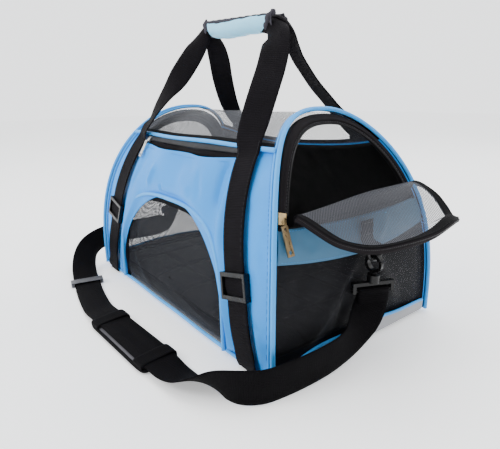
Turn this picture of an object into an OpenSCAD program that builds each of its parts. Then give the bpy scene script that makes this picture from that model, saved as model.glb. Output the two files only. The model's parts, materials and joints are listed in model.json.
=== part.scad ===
// Soft-sided pet transport carrier.
// Frame: +X towards the end with the open door, -Y towards the pocket side, +Z up,
// origin in the middle of the bottom, on the surface that the carrier stands on.

/* [Body] */
// Length of the body at its base
body_l = 450; // [400:10:520]
// Width of the body at its base
body_w = 270; // [240:5:300]
// Height of the body to the ridge of the top
body_h = 268; // [250:2:290]
// How far each end leans in by the ridge
end_lean = 78; // [40:2:90]
// Height of the upright sides below the arch
side_h = 22; // [10:1:40]
// Squareness of the arch, 2 is an ellipse
arch_n = 2.35; // [2:0.05:3]
// Thickness of the padded walls
wall_t = 3; // [2:0.5:4]
// Height at which the walls meet the mesh top
top_seam_z = 232; // [215:1:238]

/* [Windows and pocket] */
// Half of the window's width at its sill
window_half_w = 140; // [110:1:145]
// Height of the window's crown
window_top_z = 154; // [120:1:160]
// Height of the window's sill
window_sill_z = 8; // [6:1:20]
// Height of the pocket's zip
pocket_zip_z = 225; // [205:1:226]

/* [Ends] */
// Height of the lower edge of the band below the door
band_low_z = 118; // [100:1:125]
// Height of the door's hinge line
hinge_z = 160; // [150:1:170]
// Width of the black surround between the piping and the door
surround_w = 10; // [7:1:14]
// How far the right door hangs open from shut, in degrees
door_open = 119; // [90:1:125]
// How high the bottom fabric turns up at the ends
upstand_h = 22; // [10:1:26]

/* [Webbing] */
// Width of the handle webbing
web_w = 34; // [30:1:36]
// Width of the shoulder strap
strap_w = 38; // [34:1:40]
// Thickness of the webbing
web_t = 2; // [1.5:0.1:2.2]
// Height of the grip's middle above the floor
grip_z = 378; // [350:1:400]
// Length of the grip wrap
grip_l = 140; // [110:2:150]
// Height of the right buckles' middle
right_buckle_z = 93; // [80:1:100]
// Height of the left buckles' middle
left_buckle_z = 112; // [100:1:125]

/* [Floor] */
// Thickness of the stiff base board
board_t = 3; // [2:0.5:4]
// Thickness of the padded mat
mat_t = 16; // [10:1:20]

/* [Hidden] */

// Depths from the wall's outer face, outwards positive.
mesh_t = 2;
skin_gap = 0.3;
pocket_out = 2.4;
tape_out = 3.5;
leg_in = 5;
leg_out = leg_in + web_t;
piping_r = 2.2;
piping_off = 2.6;
floor_t = 4;
arch_steps = 26;
curve_steps = 24;
big = 600;

sky = [0.48, 0.71, 0.87];
net = [0.22, 0.23, 0.25];
black_web = [0.17, 0.16, 0.18];
lining_black = [0.08, 0.08, 0.09];
grey_cloth = [0.6, 0.6, 0.6];
hard_black = [0.05, 0.05, 0.055];
steel = [0.75, 0.75, 0.77];
brass = [0.8, 0.65, 0.35];

// ---- outlines ----------------------------------------------------------

// How far the ends lean in at height z.
function lean(z) = end_lean * pow(max(z, 0) / body_h, 3);

// Half width of the body at height z, grown by d.
function half_w(z, d = 0) =
    let(rise = min(1, max(0, z - side_h) / (body_h + d - side_h)))
    (body_w / 2 + d) * pow(1 - pow(rise, arch_n), 1 / arch_n);

// Right half of the arch, from the side up to the ridge, as [y, z].
function arch_half(d) = [for (i = [0:arch_steps])
    let(a = 90 * i / arch_steps)
    [(body_w / 2 + d) * pow(cos(a), 2 / arch_n),
     side_h + (body_h + d - side_h) * pow(sin(a), 2 / arch_n)]];

// The arch from the right foot over the ridge to the left foot.
function arch_line(d, foot) =
    let(half = arch_half(d), n = len(half))
    concat([[body_w / 2 + d, foot]], half,
           [for (i = [1:n - 1]) [-half[n - 1 - i][0], half[n - 1 - i][1]]],
           [[-body_w / 2 - d, foot]]);

// A tunnel along X whose section is the arch grown by d.
module tunnel(d, foot = 0)
    rotate([90, 0, 90])
        linear_extrude(height = big, center = true)
            polygon(arch_line(d, foot));

// A block whose two ends follow the lean, grown by d.
module ends_block(d) {
    right = [for (i = [0:curve_steps])
        let(z = -10 + (body_h + 30) * i / curve_steps)
        [body_l / 2 + d - lean(z), z]];
    rotate([90, 0, 0])
        linear_extrude(height = big, center = true)
            polygon(concat(right, [for (i = [0:curve_steps])
                [-right[curve_steps - i][0], right[curve_steps - i][1]]]));
}

// A slab of all X and Y between two heights.
module layer(z0, z1)
    translate([-big / 2, -big / 2, z0])
        cube([big, big, z1 - z0]);

// Everything on one side of Y = 0.
module y_side(s)
    translate([-big / 2, s > 0 ? 0 : -big, -50])
        cube([big, big, big]);

// Everything on one side of X = 0.
module x_side(s)
    translate([s > 0 ? 0 : -big, -big / 2, -50])
        cube([big, big, big]);

// Wall skin between two depths, over the whole tunnel.
module skin(d_out, d_in) intersection() {
    difference() {
        tunnel(d_out);
        tunnel(d_in, -5);
    }
    ends_block(0);
}

// End skin between two depths, inside the walls.
module end_skin(d_out, d_in, inset) intersection() {
    difference() {
        ends_block(d_out);
        ends_block(d_in);
    }
    tunnel(-inset);
}

// Window outline grown by g, as [x, z].
function window_line(g) =
    let(a = window_half_w + g, h = window_top_z + g - window_sill_z, n = 3.2)
    concat([for (i = [0:curve_steps])
        let(t = 90 * i / curve_steps)
        [a * pow(cos(t), 2 / n), window_sill_z + h * pow(sin(t), 2 / n)]],
    [for (i = [1:curve_steps])
        let(t = 90 - 90 * i / curve_steps)
        [-a * pow(cos(t), 2 / n), window_sill_z + h * pow(sin(t), 2 / n)]]);

module window_prism(g)
    rotate([90, 0, 0])
        linear_extrude(height = big, center = true)
            polygon(window_line(g));

// Middle of a leg of webbing at height z: the legs spread towards the floor.
leg_base_x = 190;
leg_slope = 0.245;
function leg_x(z) = leg_base_x - leg_slope * z;

// Both slanted leg columns between two heights, each w wide.
module leg_columns(w, z0, z1)
    for (s = [-1, 1])
        leg_column(w, z0, z1, s);

module leg_column(w, z0, z1, s)
    rotate([90, 0, 0])
        linear_extrude(height = big, center = true)
            polygon([[s * (leg_x(z0) - w / 2), z0], [s * (leg_x(z0) + w / 2), z0],
                     [s * (leg_x(z1) + w / 2), z1], [s * (leg_x(z1) - w / 2), z1]]);

// ---- sweeps ------------------------------------------------------------

function unit(v) = v / norm(v);

// Direction of the path at point i.
function path_dir(p, i) = unit(p[min(i + 1, len(p) - 1)] - p[max(i - 1, 0)]);

// Solid swept along p; section gives its points as [side, up] and ups the up vector at each point.
module sweep(p, section, ups) {
    m = len(section);
    n = len(p);
    pts = [for (i = [0:n - 1])
        let(d = path_dir(p, i), side = unit(cross(d, ups[i])), up = cross(side, d))
        for (s = section)
            p[i] + s[0] * side + s[1] * up];
    skin_faces = [for (i = [0:n - 2])
        for (j = [0:m - 1])
            for (f = [[i * m + j, (i + 1) * m + j, (i + 1) * m + (j + 1) % m],
                      [i * m + j, (i + 1) * m + (j + 1) % m, i * m + (j + 1) % m]])
                f];
    start_cap = [for (j = [0:m - 1]) j];
    end_cap = [for (j = [0:m - 1]) n * m - 1 - j];
    polyhedron(pts, concat([start_cap], skin_faces, [end_cap]), convexity = 10);
}

function ring_section(r, sides) = [for (j = [0:sides - 1]) r * [cos(-360 * j / sides), sin(-360 * j / sides)]];

// Bead along the arch where the walls meet an end, at depth d.
module end_bead(s, d, r, foot, sides) {
    half = concat([[body_w / 2 + d, foot]], arch_half(d));
    n = len(half);
    whole = concat(half, [for (i = [1:n - 1]) [-half[n - 1 - i][0], half[n - 1 - i][1]]]);
    p = [for (q = whole) [s * (body_l / 2 + d - lean(q[1])), q[0], q[1]]];
    sweep(p, ring_section(r, sides), [for (q = p) [1, 0, 0]]);
}

// ---- walls -------------------------------------------------------------

module wall(s) color(sky)
    difference() {
        intersection() {
            skin(0, -wall_t);
            y_side(s);
            layer(floor_t + 0.1, top_seam_z);
        }
        if (s < 0)
            window_prism(0);
    }

module front_window_mesh() color(net)
    intersection() {
        skin(-0.5, -0.5 - mesh_t);
        y_side(-1);
        window_prism(-0.15);
    }

module front_window_piping() color(sky) {
    outline = window_line(2);
    spaced = [for (i = [0:len(outline) - 1])
        if (i == 0 || norm(outline[i] - outline[i - 1]) > 1) outline[i]];
    p = [for (q = spaced) [q[0], -half_w(q[1], piping_off), q[1]]];
    sweep(p, ring_section(piping_r, 8), [for (q = p) [0, 1, 0]]);
}

module front_panel() wall(-1);
module back_panel() wall(1);

// Flat pocket sewn over the front wall, between the legs and round the window.
module front_pocket() color(sky)
    difference() {
        intersection() {
            skin(pocket_out, skin_gap);
            y_side(-1);
            layer(14, pocket_zip_z - 4);
            rotate([90, 0, 0])
                linear_extrude(height = big, center = true)
                    polygon([[-leg_x(14) + 20, 14], [leg_x(14) - 20, 14],
                             [leg_x(230) - 20, 230], [-leg_x(230) + 20, 230]]);
        }
        window_prism(6);
    }

zip_half_l = 108;

module pocket_zip_tape() color(lining_black)
    intersection() {
        skin(tape_out, skin_gap);
        y_side(-1);
        layer(pocket_zip_z - 3.8, pocket_zip_z + 3.8);
        translate([-zip_half_l - 8, -big / 2, 0])
            cube([2 * zip_half_l + 12, big, big]);
    }

// Place things on the front wall at height z and depth d, local -Y pointing out of the wall.
module on_front(x, z, d) {
    dz = 2;
    tilt = atan2(half_w(z - dz, d) - half_w(z + dz, d), 2 * dz);
    translate([x, -half_w(z, d), z])
        rotate([-tilt, 0, 0])
            children();
}

module slider_body(w, h, t)
    difference() {
        translate([-w / 2, -t, -h / 2])
            cube([w, t, h]);
        translate([0, -t, h / 2 + 2])
            rotate([0, 90, 0])
                cylinder(r = 3.4, h = w + 2, center = true, $fn = 32);
    }

pocket_slider_x = -zip_half_l;

module pocket_zip_slider() color(steel)
    on_front(pocket_slider_x, pocket_zip_z, tape_out + 0.4)
        slider_body(7, 9, 3);

// Plate with a round end hole, hanging down from its pin at the local origin.
module puller_plate(w, l, t)
    difference() {
        translate([-w / 2, -t / 2, -l])
            cube([w, t, l + 0.6]);
        translate([0, 0, -2.5])
            rotate([90, 0, 0])
                cylinder(r = 1.3, h = t + 2, center = true, $fn = 24);
        translate([0, 0, -l + w / 2])
            rotate([90, 0, 0])
                cylinder(r = w / 4, h = t + 2, center = true, $fn = 24);
    }

module pocket_zip_puller() color(steel)
    on_front(pocket_slider_x, pocket_zip_z - 2, tape_out + 4.6)
        rotate([4, 0, 0])
            puller_plate(7, 26, 1.4);

// Clear mesh top between the two walls.
module top_mesh_panel() color([0.55, 0.56, 0.58])
    intersection() {
        skin(-0.3, -0.3 - mesh_t);
        layer(top_seam_z + 0.2, body_h + 5);
    }

module top_piping(s) color(sky)
    translate([0, s * half_w(top_seam_z, piping_off), top_seam_z])
        rotate([0, 90, 0])
            cylinder(r = piping_r, h = body_l - 2 * lean(top_seam_z) - 1, center = true, $fn = 24);

module front_top_piping() top_piping(-1);
module back_top_piping() top_piping(1);

// ---- bottom ------------------------------------------------------------

end_plate_x = body_l / 2 + 0.2;

module bottom_panel() color(grey_cloth)
    difference() {
        union() {
            translate([-end_plate_x - 1.6, -body_w / 2, 0])
                cube([2 * end_plate_x + 3.2, body_w, floor_t]);
            for (s = [-1, 1])
                translate([s > 0 ? end_plate_x : -end_plate_x - 1.6, -body_w / 2 + 6, 0])
                    cube([1.6, body_w - 12, upstand_h]);
        }
        for (s = [-1, 1])
            translate([s * leg_x(0) - web_w / 2 - 0.4, -body_w, -1])
                cube([web_w + 0.8, 2 * body_w, web_t + 1.3]);
    }

board_z = floor_t + 0.1;
board_x = body_l / 2 - 10;
board_y = body_w / 2 - 8;

module base_board() color([0.2, 0.2, 0.2])
    translate([-board_x, -board_y, board_z])
        cube([2 * board_x, 2 * board_y, board_t]);

module floor_mat() color([0.12, 0.12, 0.13])
    translate([-board_x + 2, -board_y + 2, board_z + board_t + 0.1])
        cube([2 * board_x - 4, 2 * board_y - 4, mat_t]);

// ---- ends --------------------------------------------------------------

end_inset = wall_t + 0.3;

module end_mesh(s) color(net)
    intersection() {
        end_skin(-0.2, -0.2 - mesh_t, end_inset);
        x_side(s);
        layer(floor_t + 0.1, band_low_z - 0.2);
    }

module end_band(s) color(sky)
    intersection() {
        end_skin(0, -3, end_inset);
        x_side(s);
        layer(band_low_z, hinge_z - 1);
    }

// Tunnel whose section is the door opening.
module door_tunnel(g) intersection() {
    tunnel(-end_inset - surround_w - g);
    layer(hinge_z + g, body_h + 5);
}

module door_surround(s) color(lining_black)
    difference() {
        intersection() {
            end_skin(0, -2.5, end_inset);
            x_side(s);
            layer(hinge_z - 0.8, body_h + 5);
        }
        door_tunnel(0);
        layer(hinge_z - 5, hinge_z + 0.01);
    }

module end_piping(s) color(sky) end_bead(s, piping_off, piping_r, 3, 8);
module frame_wire(s) color(steel) end_bead(s, -7, 1.5, 6, 8);

module right_end_mesh() end_mesh(1);
module left_end_mesh() end_mesh(-1);
module right_end_band() end_band(1);
module left_end_band() end_band(-1);
module right_door_surround() door_surround(1);
module left_door_surround() door_surround(-1);
module right_end_piping() end_piping(1);
module left_end_piping() end_piping(-1);
module right_frame_wire() frame_wire(1);
module left_frame_wire() frame_wire(-1);

// ---- doors -------------------------------------------------------------

hinge_x = body_l / 2 - lean(hinge_z) + 1.2;
door_gap = 1.2;
binding_w = 8;

corner_cut = 7;

// Prism along the body whose lower corners are cut, so that a raised slider's puller passes.
module door_corners() {
    foot_y = half_w(hinge_z, -end_inset - surround_w - door_gap) - corner_cut;
    rotate([90, 0, 90])
        linear_extrude(height = big, center = true)
            polygon([[-foot_y, hinge_z], [-foot_y - corner_cut, hinge_z + corner_cut],
                     [-foot_y - corner_cut, body_h], [foot_y + corner_cut, body_h],
                     [foot_y + corner_cut, hinge_z + corner_cut], [foot_y, hinge_z]]);
}

// Shut door: net inside a bound rim, following the lean of the end.
module shut_door_net(s) intersection() {
    end_skin(-0.6, -1.8, 0);
    x_side(s);
    door_tunnel(door_gap + binding_w + 0.1);
}

module shut_door_binding(s) difference() {
    intersection() {
        end_skin(0, -2.4, 0);
        x_side(s);
        door_tunnel(door_gap);
        door_corners();
    }
    door_tunnel(door_gap + binding_w);
}

module swung_open()
    translate([hinge_x, 0, hinge_z])
        rotate([0, door_open, 0])
            translate([-hinge_x, 0, -hinge_z])
                children();

module right_door_mesh() color(net) swung_open() shut_door_net(1);
module left_door_mesh() color(net) shut_door_net(-1);
module right_door_binding() color(lining_black) swung_open() shut_door_binding(1);
module left_door_binding() color(lining_black) shut_door_binding(-1);

// Height and side at which a door's slider stops on its zip.
door_slider_z = 170;
door_slider_y = half_w(door_slider_z, -end_inset - 2.8);
slider_turn = 15;

module on_end(s, y, z, d)
    translate([s * (body_l / 2 + d - lean(z)), y, z])
        rotate([0, 0, s * 90])
            rotate([-atan(3 * end_lean * pow(z / body_h, 2) / body_h), 0, 0])
                children();

module door_slider(s, y) color(brass)
    on_end(s, y, door_slider_z, 0.4)
        rotate([0, slider_turn, 0])
            slider_body(10, 13, 3.6);

module door_puller(s, y) color(brass)
    on_end(s, y - s * 1.5, door_slider_z - 6, 5.8)
        rotate([-3, 0, 0])
            puller_plate(8.4, 30, 1.5);

module right_door_slider() door_slider(1, -door_slider_y);
module left_door_slider() door_slider(-1, door_slider_y);
module right_door_puller() door_puller(1, -door_slider_y);
module left_door_puller() door_puller(-1, door_slider_y);

// ---- handles -----------------------------------------------------------

// The sewn legs stop where the free loops begin to swing.
leg_top_z = 226;
handle_y = half_w(leg_top_z + 6, leg_in + 4);
handle_z = leg_top_z + 8;
grip_y = 6;

module leg_webbing(s) color(black_web)
    for (side = [-1, 1])
        intersection() {
            skin(leg_out, leg_in);
            y_side(s);
            leg_column(web_w, buckle_z(side) + 0.2, leg_top_z, side);
        }

function buckle_z(side) = side > 0 ? right_buckle_z : left_buckle_z;

module front_leg_webbing() leg_webbing(-1);
module back_leg_webbing() leg_webbing(1);

// Free loop: a flat hoop of webbing in the plane from its swing line up to the grip.
handle_len = norm([handle_y - grip_y, grip_z - handle_z]);
handle_tilt = atan2(handle_y - grip_y, grip_z - handle_z);

module loop_outline() {
    foot = leg_x(handle_z);
    fold = grip_l / 2 + 6;
    outer = [[foot + web_w / 2, 4], [foot + 1, 80], [foot - 15, 125], [fold + 18, handle_len - 12],
             [fold, handle_len + 8]];
    inner = [[foot - web_w / 2, 4], [foot - web_w, 80], [foot - web_w - 15, 125],
             [fold + 1, handle_len - 14], [fold - 1.5, handle_len - 4.5]];
    polygon(concat(outer, [for (i = [0:4]) [-outer[4 - i][0], outer[4 - i][1]]],
                   [for (q = inner) [-q[0], q[1]]], [for (i = [0:4]) inner[4 - i]]));
}

module handle_webbing(s) color(black_web)
    translate([0, s * handle_y, handle_z])
        rotate([s * handle_tilt, 0, 0])
            rotate([90, 0, 0])
                linear_extrude(height = web_t, center = true)
                    loop_outline();

module front_handle_webbing() handle_webbing(-1);
module back_handle_webbing() handle_webbing(1);

wrap_r = 16;
wrap_t = 3.7;

// Wrap open towards +Y, so that the back loop can leave it.
module c_tube(r_out, r_in, l)
    translate([0, 0, grip_z])
        rotate([0, 90, 0])
            rotate([0, 0, 165])
                rotate_extrude(angle = 210, $fn = 64)
                    translate([r_in, -l / 2])
                        square([r_out - r_in, l]);

module grip_wrap() color([0.7, 0.87, 0.95]) c_tube(wrap_r, wrap_r - wrap_t, grip_l);
module grip_lining() color(lining_black) c_tube(wrap_r - wrap_t - 0.1, wrap_r - wrap_t - 1, grip_l + 8);

// ---- girth straps and buckles ------------------------------------------

module girth_strap(side) color(black_web) {
    intersection() {
        difference() {
            tunnel(leg_out);
            tunnel(leg_in, -5);
        }
        leg_column(web_w, 0, buckle_z(side), side);
    }
    translate([side * leg_x(0) - web_w / 2, -body_w / 2 - leg_out, 0])
        cube([web_w, body_w + 2 * leg_out, web_t]);
}

module right_girth_strap() girth_strap(1);
module left_girth_strap() girth_strap(-1);

buckle_w = 44;
buckle_h = 30;
rail_w = 4;

bar_h = 5;

// Ladder lock: two bars before the webbing, one behind it, joined by side rails.
module buckle_shape() {
    for (side = [-1, 1])
        translate([side * (buckle_w / 2 - rail_w / 2) - rail_w / 2, -4.4, -buckle_h / 2])
            cube([rail_w, 7.4, buckle_h]);
    for (e = [-1, 1])
        translate([-buckle_w / 2, -4.4, e * (buckle_h - bar_h) / 2 - bar_h / 2])
            cube([buckle_w, 1.8, bar_h]);
    translate([-buckle_w / 2, 1.7, -bar_h / 2])
        cube([buckle_w, 1.3, bar_h]);
}

module buckle(s, side) color(hard_black) {
    z = buckle_z(side);
    mirror([0, s > 0 ? 1 : 0, 0])
        on_front(side * leg_x(z), z, leg_in + web_t / 2)
            rotate([0, side * -atan(leg_slope), 0])
                buckle_shape();
}

module front_right_buckle() buckle(-1, 1);
module front_left_buckle() buckle(-1, -1);
module back_right_buckle() buckle(1, 1);
module back_left_buckle() buckle(1, -1);

// ---- rings and snap hooks ----------------------------------------------

ring_x = body_l / 2 - lean(138) + 25;
ring_z = 124;
ring_r = 13;
wire_r = 2;
tab_w = 20;

module ring_tab(s) color(black_web)
    mirror([s > 0 ? 0 : 1, 0, 0])
        difference() {
            union() {
                translate([ring_x, 0, ring_z])
                    rotate([90, 0, 0])
                        cylinder(r = 4, h = tab_w, center = true, $fn = 32);
                translate([ring_x - 30, -tab_w / 2, ring_z - 1])
                    cube([30, tab_w, 5]);
                intersection() {
                    ends_block(web_t);
                    translate([0, -tab_w / 2, ring_z - 1])
                        cube([big, tab_w, 28]);
                }
            }
            translate([ring_x, 0, ring_z])
                rotate([90, 0, 0])
                    cylinder(r = wire_r + 0.3, h = tab_w + 2, center = true, $fn = 32);
            ends_block(0.1);
        }

module d_ring(s) color(hard_black)
    translate([s * ring_x, 0, ring_z]) {
        rotate([90, 0, 0])
            cylinder(r = wire_r, h = 2 * ring_r, center = true, $fn = 32);
        for (e = [-1, 1])
            translate([0, e * ring_r, 0])
                sphere(r = wire_r, $fn = 32);
        rotate([0, 90, 0])
            rotate([0, 0, -90])
                rotate_extrude(angle = 180, $fn = 64)
                    translate([ring_r, 0])
                        circle(r = wire_r, $fn = 32);
    }

claw_z = ring_z - ring_r - 4.2;
claw_in = 7;
claw_out = 11;
claw_t = 6;
gate_angle = 60;
neck_h = 9;

// The gate turns on its lower inner corner, and its reach lets the tip swing in past the claw.
gate_pin_r = claw_in + 0.6;
gate_pin_a = 27;
gate_reach = 6.7;

// Claw in the XZ plane round the ring's bar, open on its outer side for the gate.
module claw(s) {
    translate([s * ring_x, 0, claw_z])
        difference() {
            rotate([90, 0, 0])
                cylinder(r = claw_out, h = claw_t, center = true, $fn = 64);
            rotate([90, 0, 0])
                cylinder(r = claw_in, h = claw_t + 2, center = true, $fn = 64);
            gate_wedge(s, 0);
        }
}

// Outer sector that the gate fills, shrunk by g on each side.
module gate_wedge(s, g)
    rotate([90, 0, 0])
        linear_extrude(height = claw_t + 2, center = true)
            polygon([[0, 0], [s * 30 * cos(gate_angle / 2 - g), 30 * sin(gate_angle / 2 - g)],
                     [s * 30 * cos(gate_angle / 2 - g), -30 * sin(gate_angle / 2 - g)]]);

module snap_hook(s) color(hard_black) {
    claw(s);
    translate([s * ring_x, 0, claw_z - claw_out - neck_h + 1])
        cylinder(r = 3, h = neck_h, $fn = 32);
    translate([s * ring_x, 0, claw_z - claw_out - neck_h + 0.2])
        cylinder(r = 4.6, h = 2.6, $fn = 32);
}

module hook_gate(s) color(hard_black)
    translate([s * ring_x, 0, claw_z])
        intersection() {
            difference() {
                rotate([90, 0, 0])
                    cylinder(r = claw_out - 0.4, h = claw_t - 2, center = true, $fn = 64);
                rotate([90, 0, 0])
                    cylinder(r = claw_in + 0.4, h = claw_t + 2, center = true, $fn = 64);
            }
            gate_wedge(s, 3);
            translate([s * gate_pin_r * cos(gate_pin_a), 0, -gate_pin_r * sin(gate_pin_a)])
                rotate([90, 0, 0])
                    cylinder(r = gate_reach, h = claw_t, center = true, $fn = 64);
        }

base_top_z = claw_z - claw_out - 1.6;
bar_z = base_top_z - 19;
bar_half = 21;

// Collar round the neck's head, and a frame whose lower bar holds the strap.
module swivel_base(s) color(hard_black)
    translate([s * ring_x, 0, 0]) {
        difference() {
            translate([0, 0, base_top_z - 10])
                cylinder(r = 7, h = 9.5, $fn = 48);
            translate([0, 0, base_top_z - 20])
                cylinder(r = 3.4, h = 40, $fn = 32);
            translate([0, 0, base_top_z - 8])
                cylinder(r = 5, h = 4.2, $fn = 32);
        }
        rotate([0, 0, s * -25]) {
            difference() {
                translate([-3, -bar_half - 4, base_top_z - 13])
                    cube([6, 2 * bar_half + 8, 4]);
                translate([0, 0, base_top_z - 11.2])
                    cylinder(r = 5, h = 10, $fn = 32);
            }
            for (e = [-1, 1])
                translate([-3, e * (bar_half + 2) - 2, bar_z - 2.5])
                    cube([6, 4, base_top_z - 11 - bar_z + 2.5]);
            translate([0, 0, bar_z])
                rotate([90, 0, 0])
                    cylinder(r = 2, h = 2 * bar_half + 2, center = true, $fn = 32);
        }
    }

module right_ring_tab() ring_tab(1);
module left_ring_tab() ring_tab(-1);
module right_d_ring() d_ring(1);
module left_d_ring() d_ring(-1);
module right_snap_hook() snap_hook(1);
module left_snap_hook() snap_hook(-1);
module right_hook_gate() hook_gate(1);
module left_hook_gate() hook_gate(-1);
module right_swivel_base() swivel_base(1);
module left_swivel_base() swivel_base(-1);

// ---- shoulder strap ----------------------------------------------------

// Route of the strap's middle, from the left hook round the front to the right hook, and the
// direction across its width at each point.
strap_route = [
    [[-239, 0, 71], [-0.4, 0.9, 0]], [[-239.3, -0.6, 64], [-0.4, 0.9, 0]],
    [[-241, -6, 55], [-0.3, 0.8, -0.3]],
    [[-246, -18, 48], [0, 0.4, -1]], [[-252, -40, 44], [0, 0, -1]],
    [[-258, -66, 43], [0, 0, -1]], [[-262, -94, 43], [0, 0, -1]],
    [[-262, -120, 41], [0, 0.1, -1]], [[-256, -144, 37], [0.1, 0.2, -1]],
    [[-243, -164, 30], [0.3, 0.5, -0.8]], [[-225, -177, 21], [0.3, 0.8, -0.5]],
    [[-204, -186, 12], [0.2, 0.9, -0.2]], [[-182, -192, 6], [0.1, 1, 0]],
    [[-158, -197, 4], [0.1, 1, 0]], [[-126, -204, 3], [0.1, 1, 0]],
    [[-92, -210, 3], [0.1, 1, 0]], [[-55, -215, 4], [0, 1, 0]],
    [[-20, -216, 8], [0, 1, 0]], [[15, -214, 9], [0, 1, 0]],
    [[50, -212, 9], [0, 1, 0]], [[85, -210, 9], [0, 1, 0]],
    [[118, -208, 9], [0, 1, 0]], [[144, -206, 7], [0, 1, -0.1]],
    [[167, -202, 9], [0, 1, -0.3]], [[189, -195, 14], [0, 0.8, -0.7]],
    [[209, -187, 19], [0, 0.3, -1]], [[227, -175, 20], [0, 0, -1]],
    [[239, -158, 20], [0, 0, -1]], [[244, -134, 20], [0, 0, -1]],
    [[246, -108, 20], [0, 0, -1]], [[247, -82, 21], [0, 0, -1]],
    [[247, -58, 24], [0, 0.1, -1]], [[246, -38, 31], [0.1, 0.4, -0.8]],
    [[244, -21, 43], [0.3, 0.8, -0.3]], [[241, -7, 55], [0.4, 0.9, 0]],
    [[239.3, -0.6, 64], [0.4, 0.9, 0]], [[239, 0, 71], [0.4, 0.9, 0]]
];
strap_half = strap_w / 2;
strap_points = [for (q = strap_route) q[0]];
flat_section = [[-strap_half, -1], [0, -1], [strap_half, -1], [strap_half, 1], [0, 1], [-strap_half, 1]];

// Up vector of a flat strap at point i: across both its path and its width.
function strap_up(i) = cross(strap_route[i][1], path_dir(strap_points, i));

module shoulder_strap() color(black_web)
    sweep(strap_points, flat_section, [for (i = [0:len(strap_points) - 1]) strap_up(i)]);

// Sliding adjuster round the flat stretch of the strap near its left end.
module strap_adjuster() color(steel)
    translate([-158, -197, 4])
        rotate([0, 0, -12])
            difference() {
                translate([-8, -24, -3.5])
                    cube([16, 48, 7]);
                translate([-20, -20.5, -2.2])
                    cube([40, 41, 4.4]);
            }

// Slip-on shoulder pad with a loop at each end, which the strap runs through.
module shoulder_pad() color(lining_black) {
    pad_l = 142;
    pad_w = 46;
    loop_l = 20;
    translate([51, -212, 0])
        rotate([0, 0, 3.3]) {
            translate([-pad_l / 2, -pad_w / 2, 0.2])
                cube([pad_l, pad_w, 5]);
            for (e = [-1, 1])
                translate([e * (pad_l / 2 - 13) - loop_l / 2, 0, 0])
                    loop_band(loop_l, pad_w);
        }
}

module loop_band(l, w)
    difference() {
        translate([0, -w / 2, 0.2])
            cube([l, w, 13.6]);
        translate([-1, -w / 2 + 2, 5.2])
            cube([l + 2, w - 4, 7.4]);
    }

front_panel();
front_window_mesh();
front_window_piping();
front_pocket();
pocket_zip_tape();
pocket_zip_slider();
pocket_zip_puller();
back_panel();
top_mesh_panel();
front_top_piping();
back_top_piping();
bottom_panel();
base_board();
floor_mat();
right_end_mesh();
left_end_mesh();
right_end_band();
left_end_band();
right_door_surround();
left_door_surround();
right_end_piping();
left_end_piping();
right_frame_wire();
left_frame_wire();
right_door_mesh();
left_door_mesh();
right_door_binding();
left_door_binding();
right_door_slider();
left_door_slider();
right_door_puller();
left_door_puller();
front_leg_webbing();
back_leg_webbing();
front_handle_webbing();
back_handle_webbing();
grip_wrap();
grip_lining();
right_girth_strap();
left_girth_strap();
front_right_buckle();
front_left_buckle();
back_right_buckle();
back_left_buckle();
right_ring_tab();
left_ring_tab();
right_d_ring();
left_d_ring();
right_snap_hook();
left_snap_hook();
right_hook_gate();
left_hook_gate();
right_swivel_base();
left_swivel_base();
shoulder_strap();
strap_adjuster();
shoulder_pad();
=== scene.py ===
"""Soft-sided pet carrier: fabric, netting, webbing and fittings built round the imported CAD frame.

Everything is in metres in the frame of the CAD model: +X is the end with the open door, -Y the
pocket side, +Z up, and the origin lies in the middle of the bottom.
"""
import json
import math

import bmesh
import bpy
import numpy as np
from mathutils import Matrix, Vector


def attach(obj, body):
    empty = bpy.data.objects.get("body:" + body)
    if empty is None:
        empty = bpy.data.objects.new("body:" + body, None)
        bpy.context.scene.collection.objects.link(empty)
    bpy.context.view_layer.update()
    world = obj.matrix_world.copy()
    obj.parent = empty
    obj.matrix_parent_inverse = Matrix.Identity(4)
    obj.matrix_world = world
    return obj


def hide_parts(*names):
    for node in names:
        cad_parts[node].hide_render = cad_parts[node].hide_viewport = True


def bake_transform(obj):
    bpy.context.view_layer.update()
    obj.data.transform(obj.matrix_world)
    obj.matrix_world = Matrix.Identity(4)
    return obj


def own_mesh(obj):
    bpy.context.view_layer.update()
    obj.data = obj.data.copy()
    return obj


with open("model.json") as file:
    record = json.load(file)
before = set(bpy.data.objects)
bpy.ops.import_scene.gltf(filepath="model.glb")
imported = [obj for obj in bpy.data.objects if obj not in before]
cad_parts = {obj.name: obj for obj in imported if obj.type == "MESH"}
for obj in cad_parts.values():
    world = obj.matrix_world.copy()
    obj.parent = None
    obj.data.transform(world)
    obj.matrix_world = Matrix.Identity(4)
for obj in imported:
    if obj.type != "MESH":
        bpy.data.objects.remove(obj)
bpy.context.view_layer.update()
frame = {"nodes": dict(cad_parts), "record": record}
CARRIER = "carrier_body"

# ---- sizes shared with the CAD model ------------------------------------

BODY_L, BODY_W, BODY_H = 0.450, 0.270, 0.268
END_LEAN, SIDE_H, ARCH_N = 0.078, 0.022, 2.35
SEAM_Z = 0.232
SEAM_HALF = 0.1744
WINDOW_HALF, WINDOW_SILL, WINDOW_TOP, WINDOW_N = 0.140, 0.008, 0.154, 3.2
HINGE_Z, HINGE_X, DOOR_OPEN = 0.160, 0.2096, math.radians(119)
SURROUND_IN = 0.0133
DOOR_GAP, BINDING_W = 0.0012, 0.008
WEB_W, WEB_T, STRAP_W = 0.034, 0.002, 0.038
LEG_DEPTH = 0.006
LEG_TOP = 0.226
BUCKLE_Z = {1: 0.093, -1: 0.112}
HANDLE_Y, HANDLE_Z, HANDLE_TILT = 0.0939, 0.234, math.radians(31.4)
GRIP_Z, GRIP_LEN, GRIP_TILT = 0.378, 0.140, 0.055
RING_X, RING_Z = 0.23935, 0.124
STRAP_BAR_Z = 0.0752
ENDS = ((1, "right"), (-1, "left"))


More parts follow.
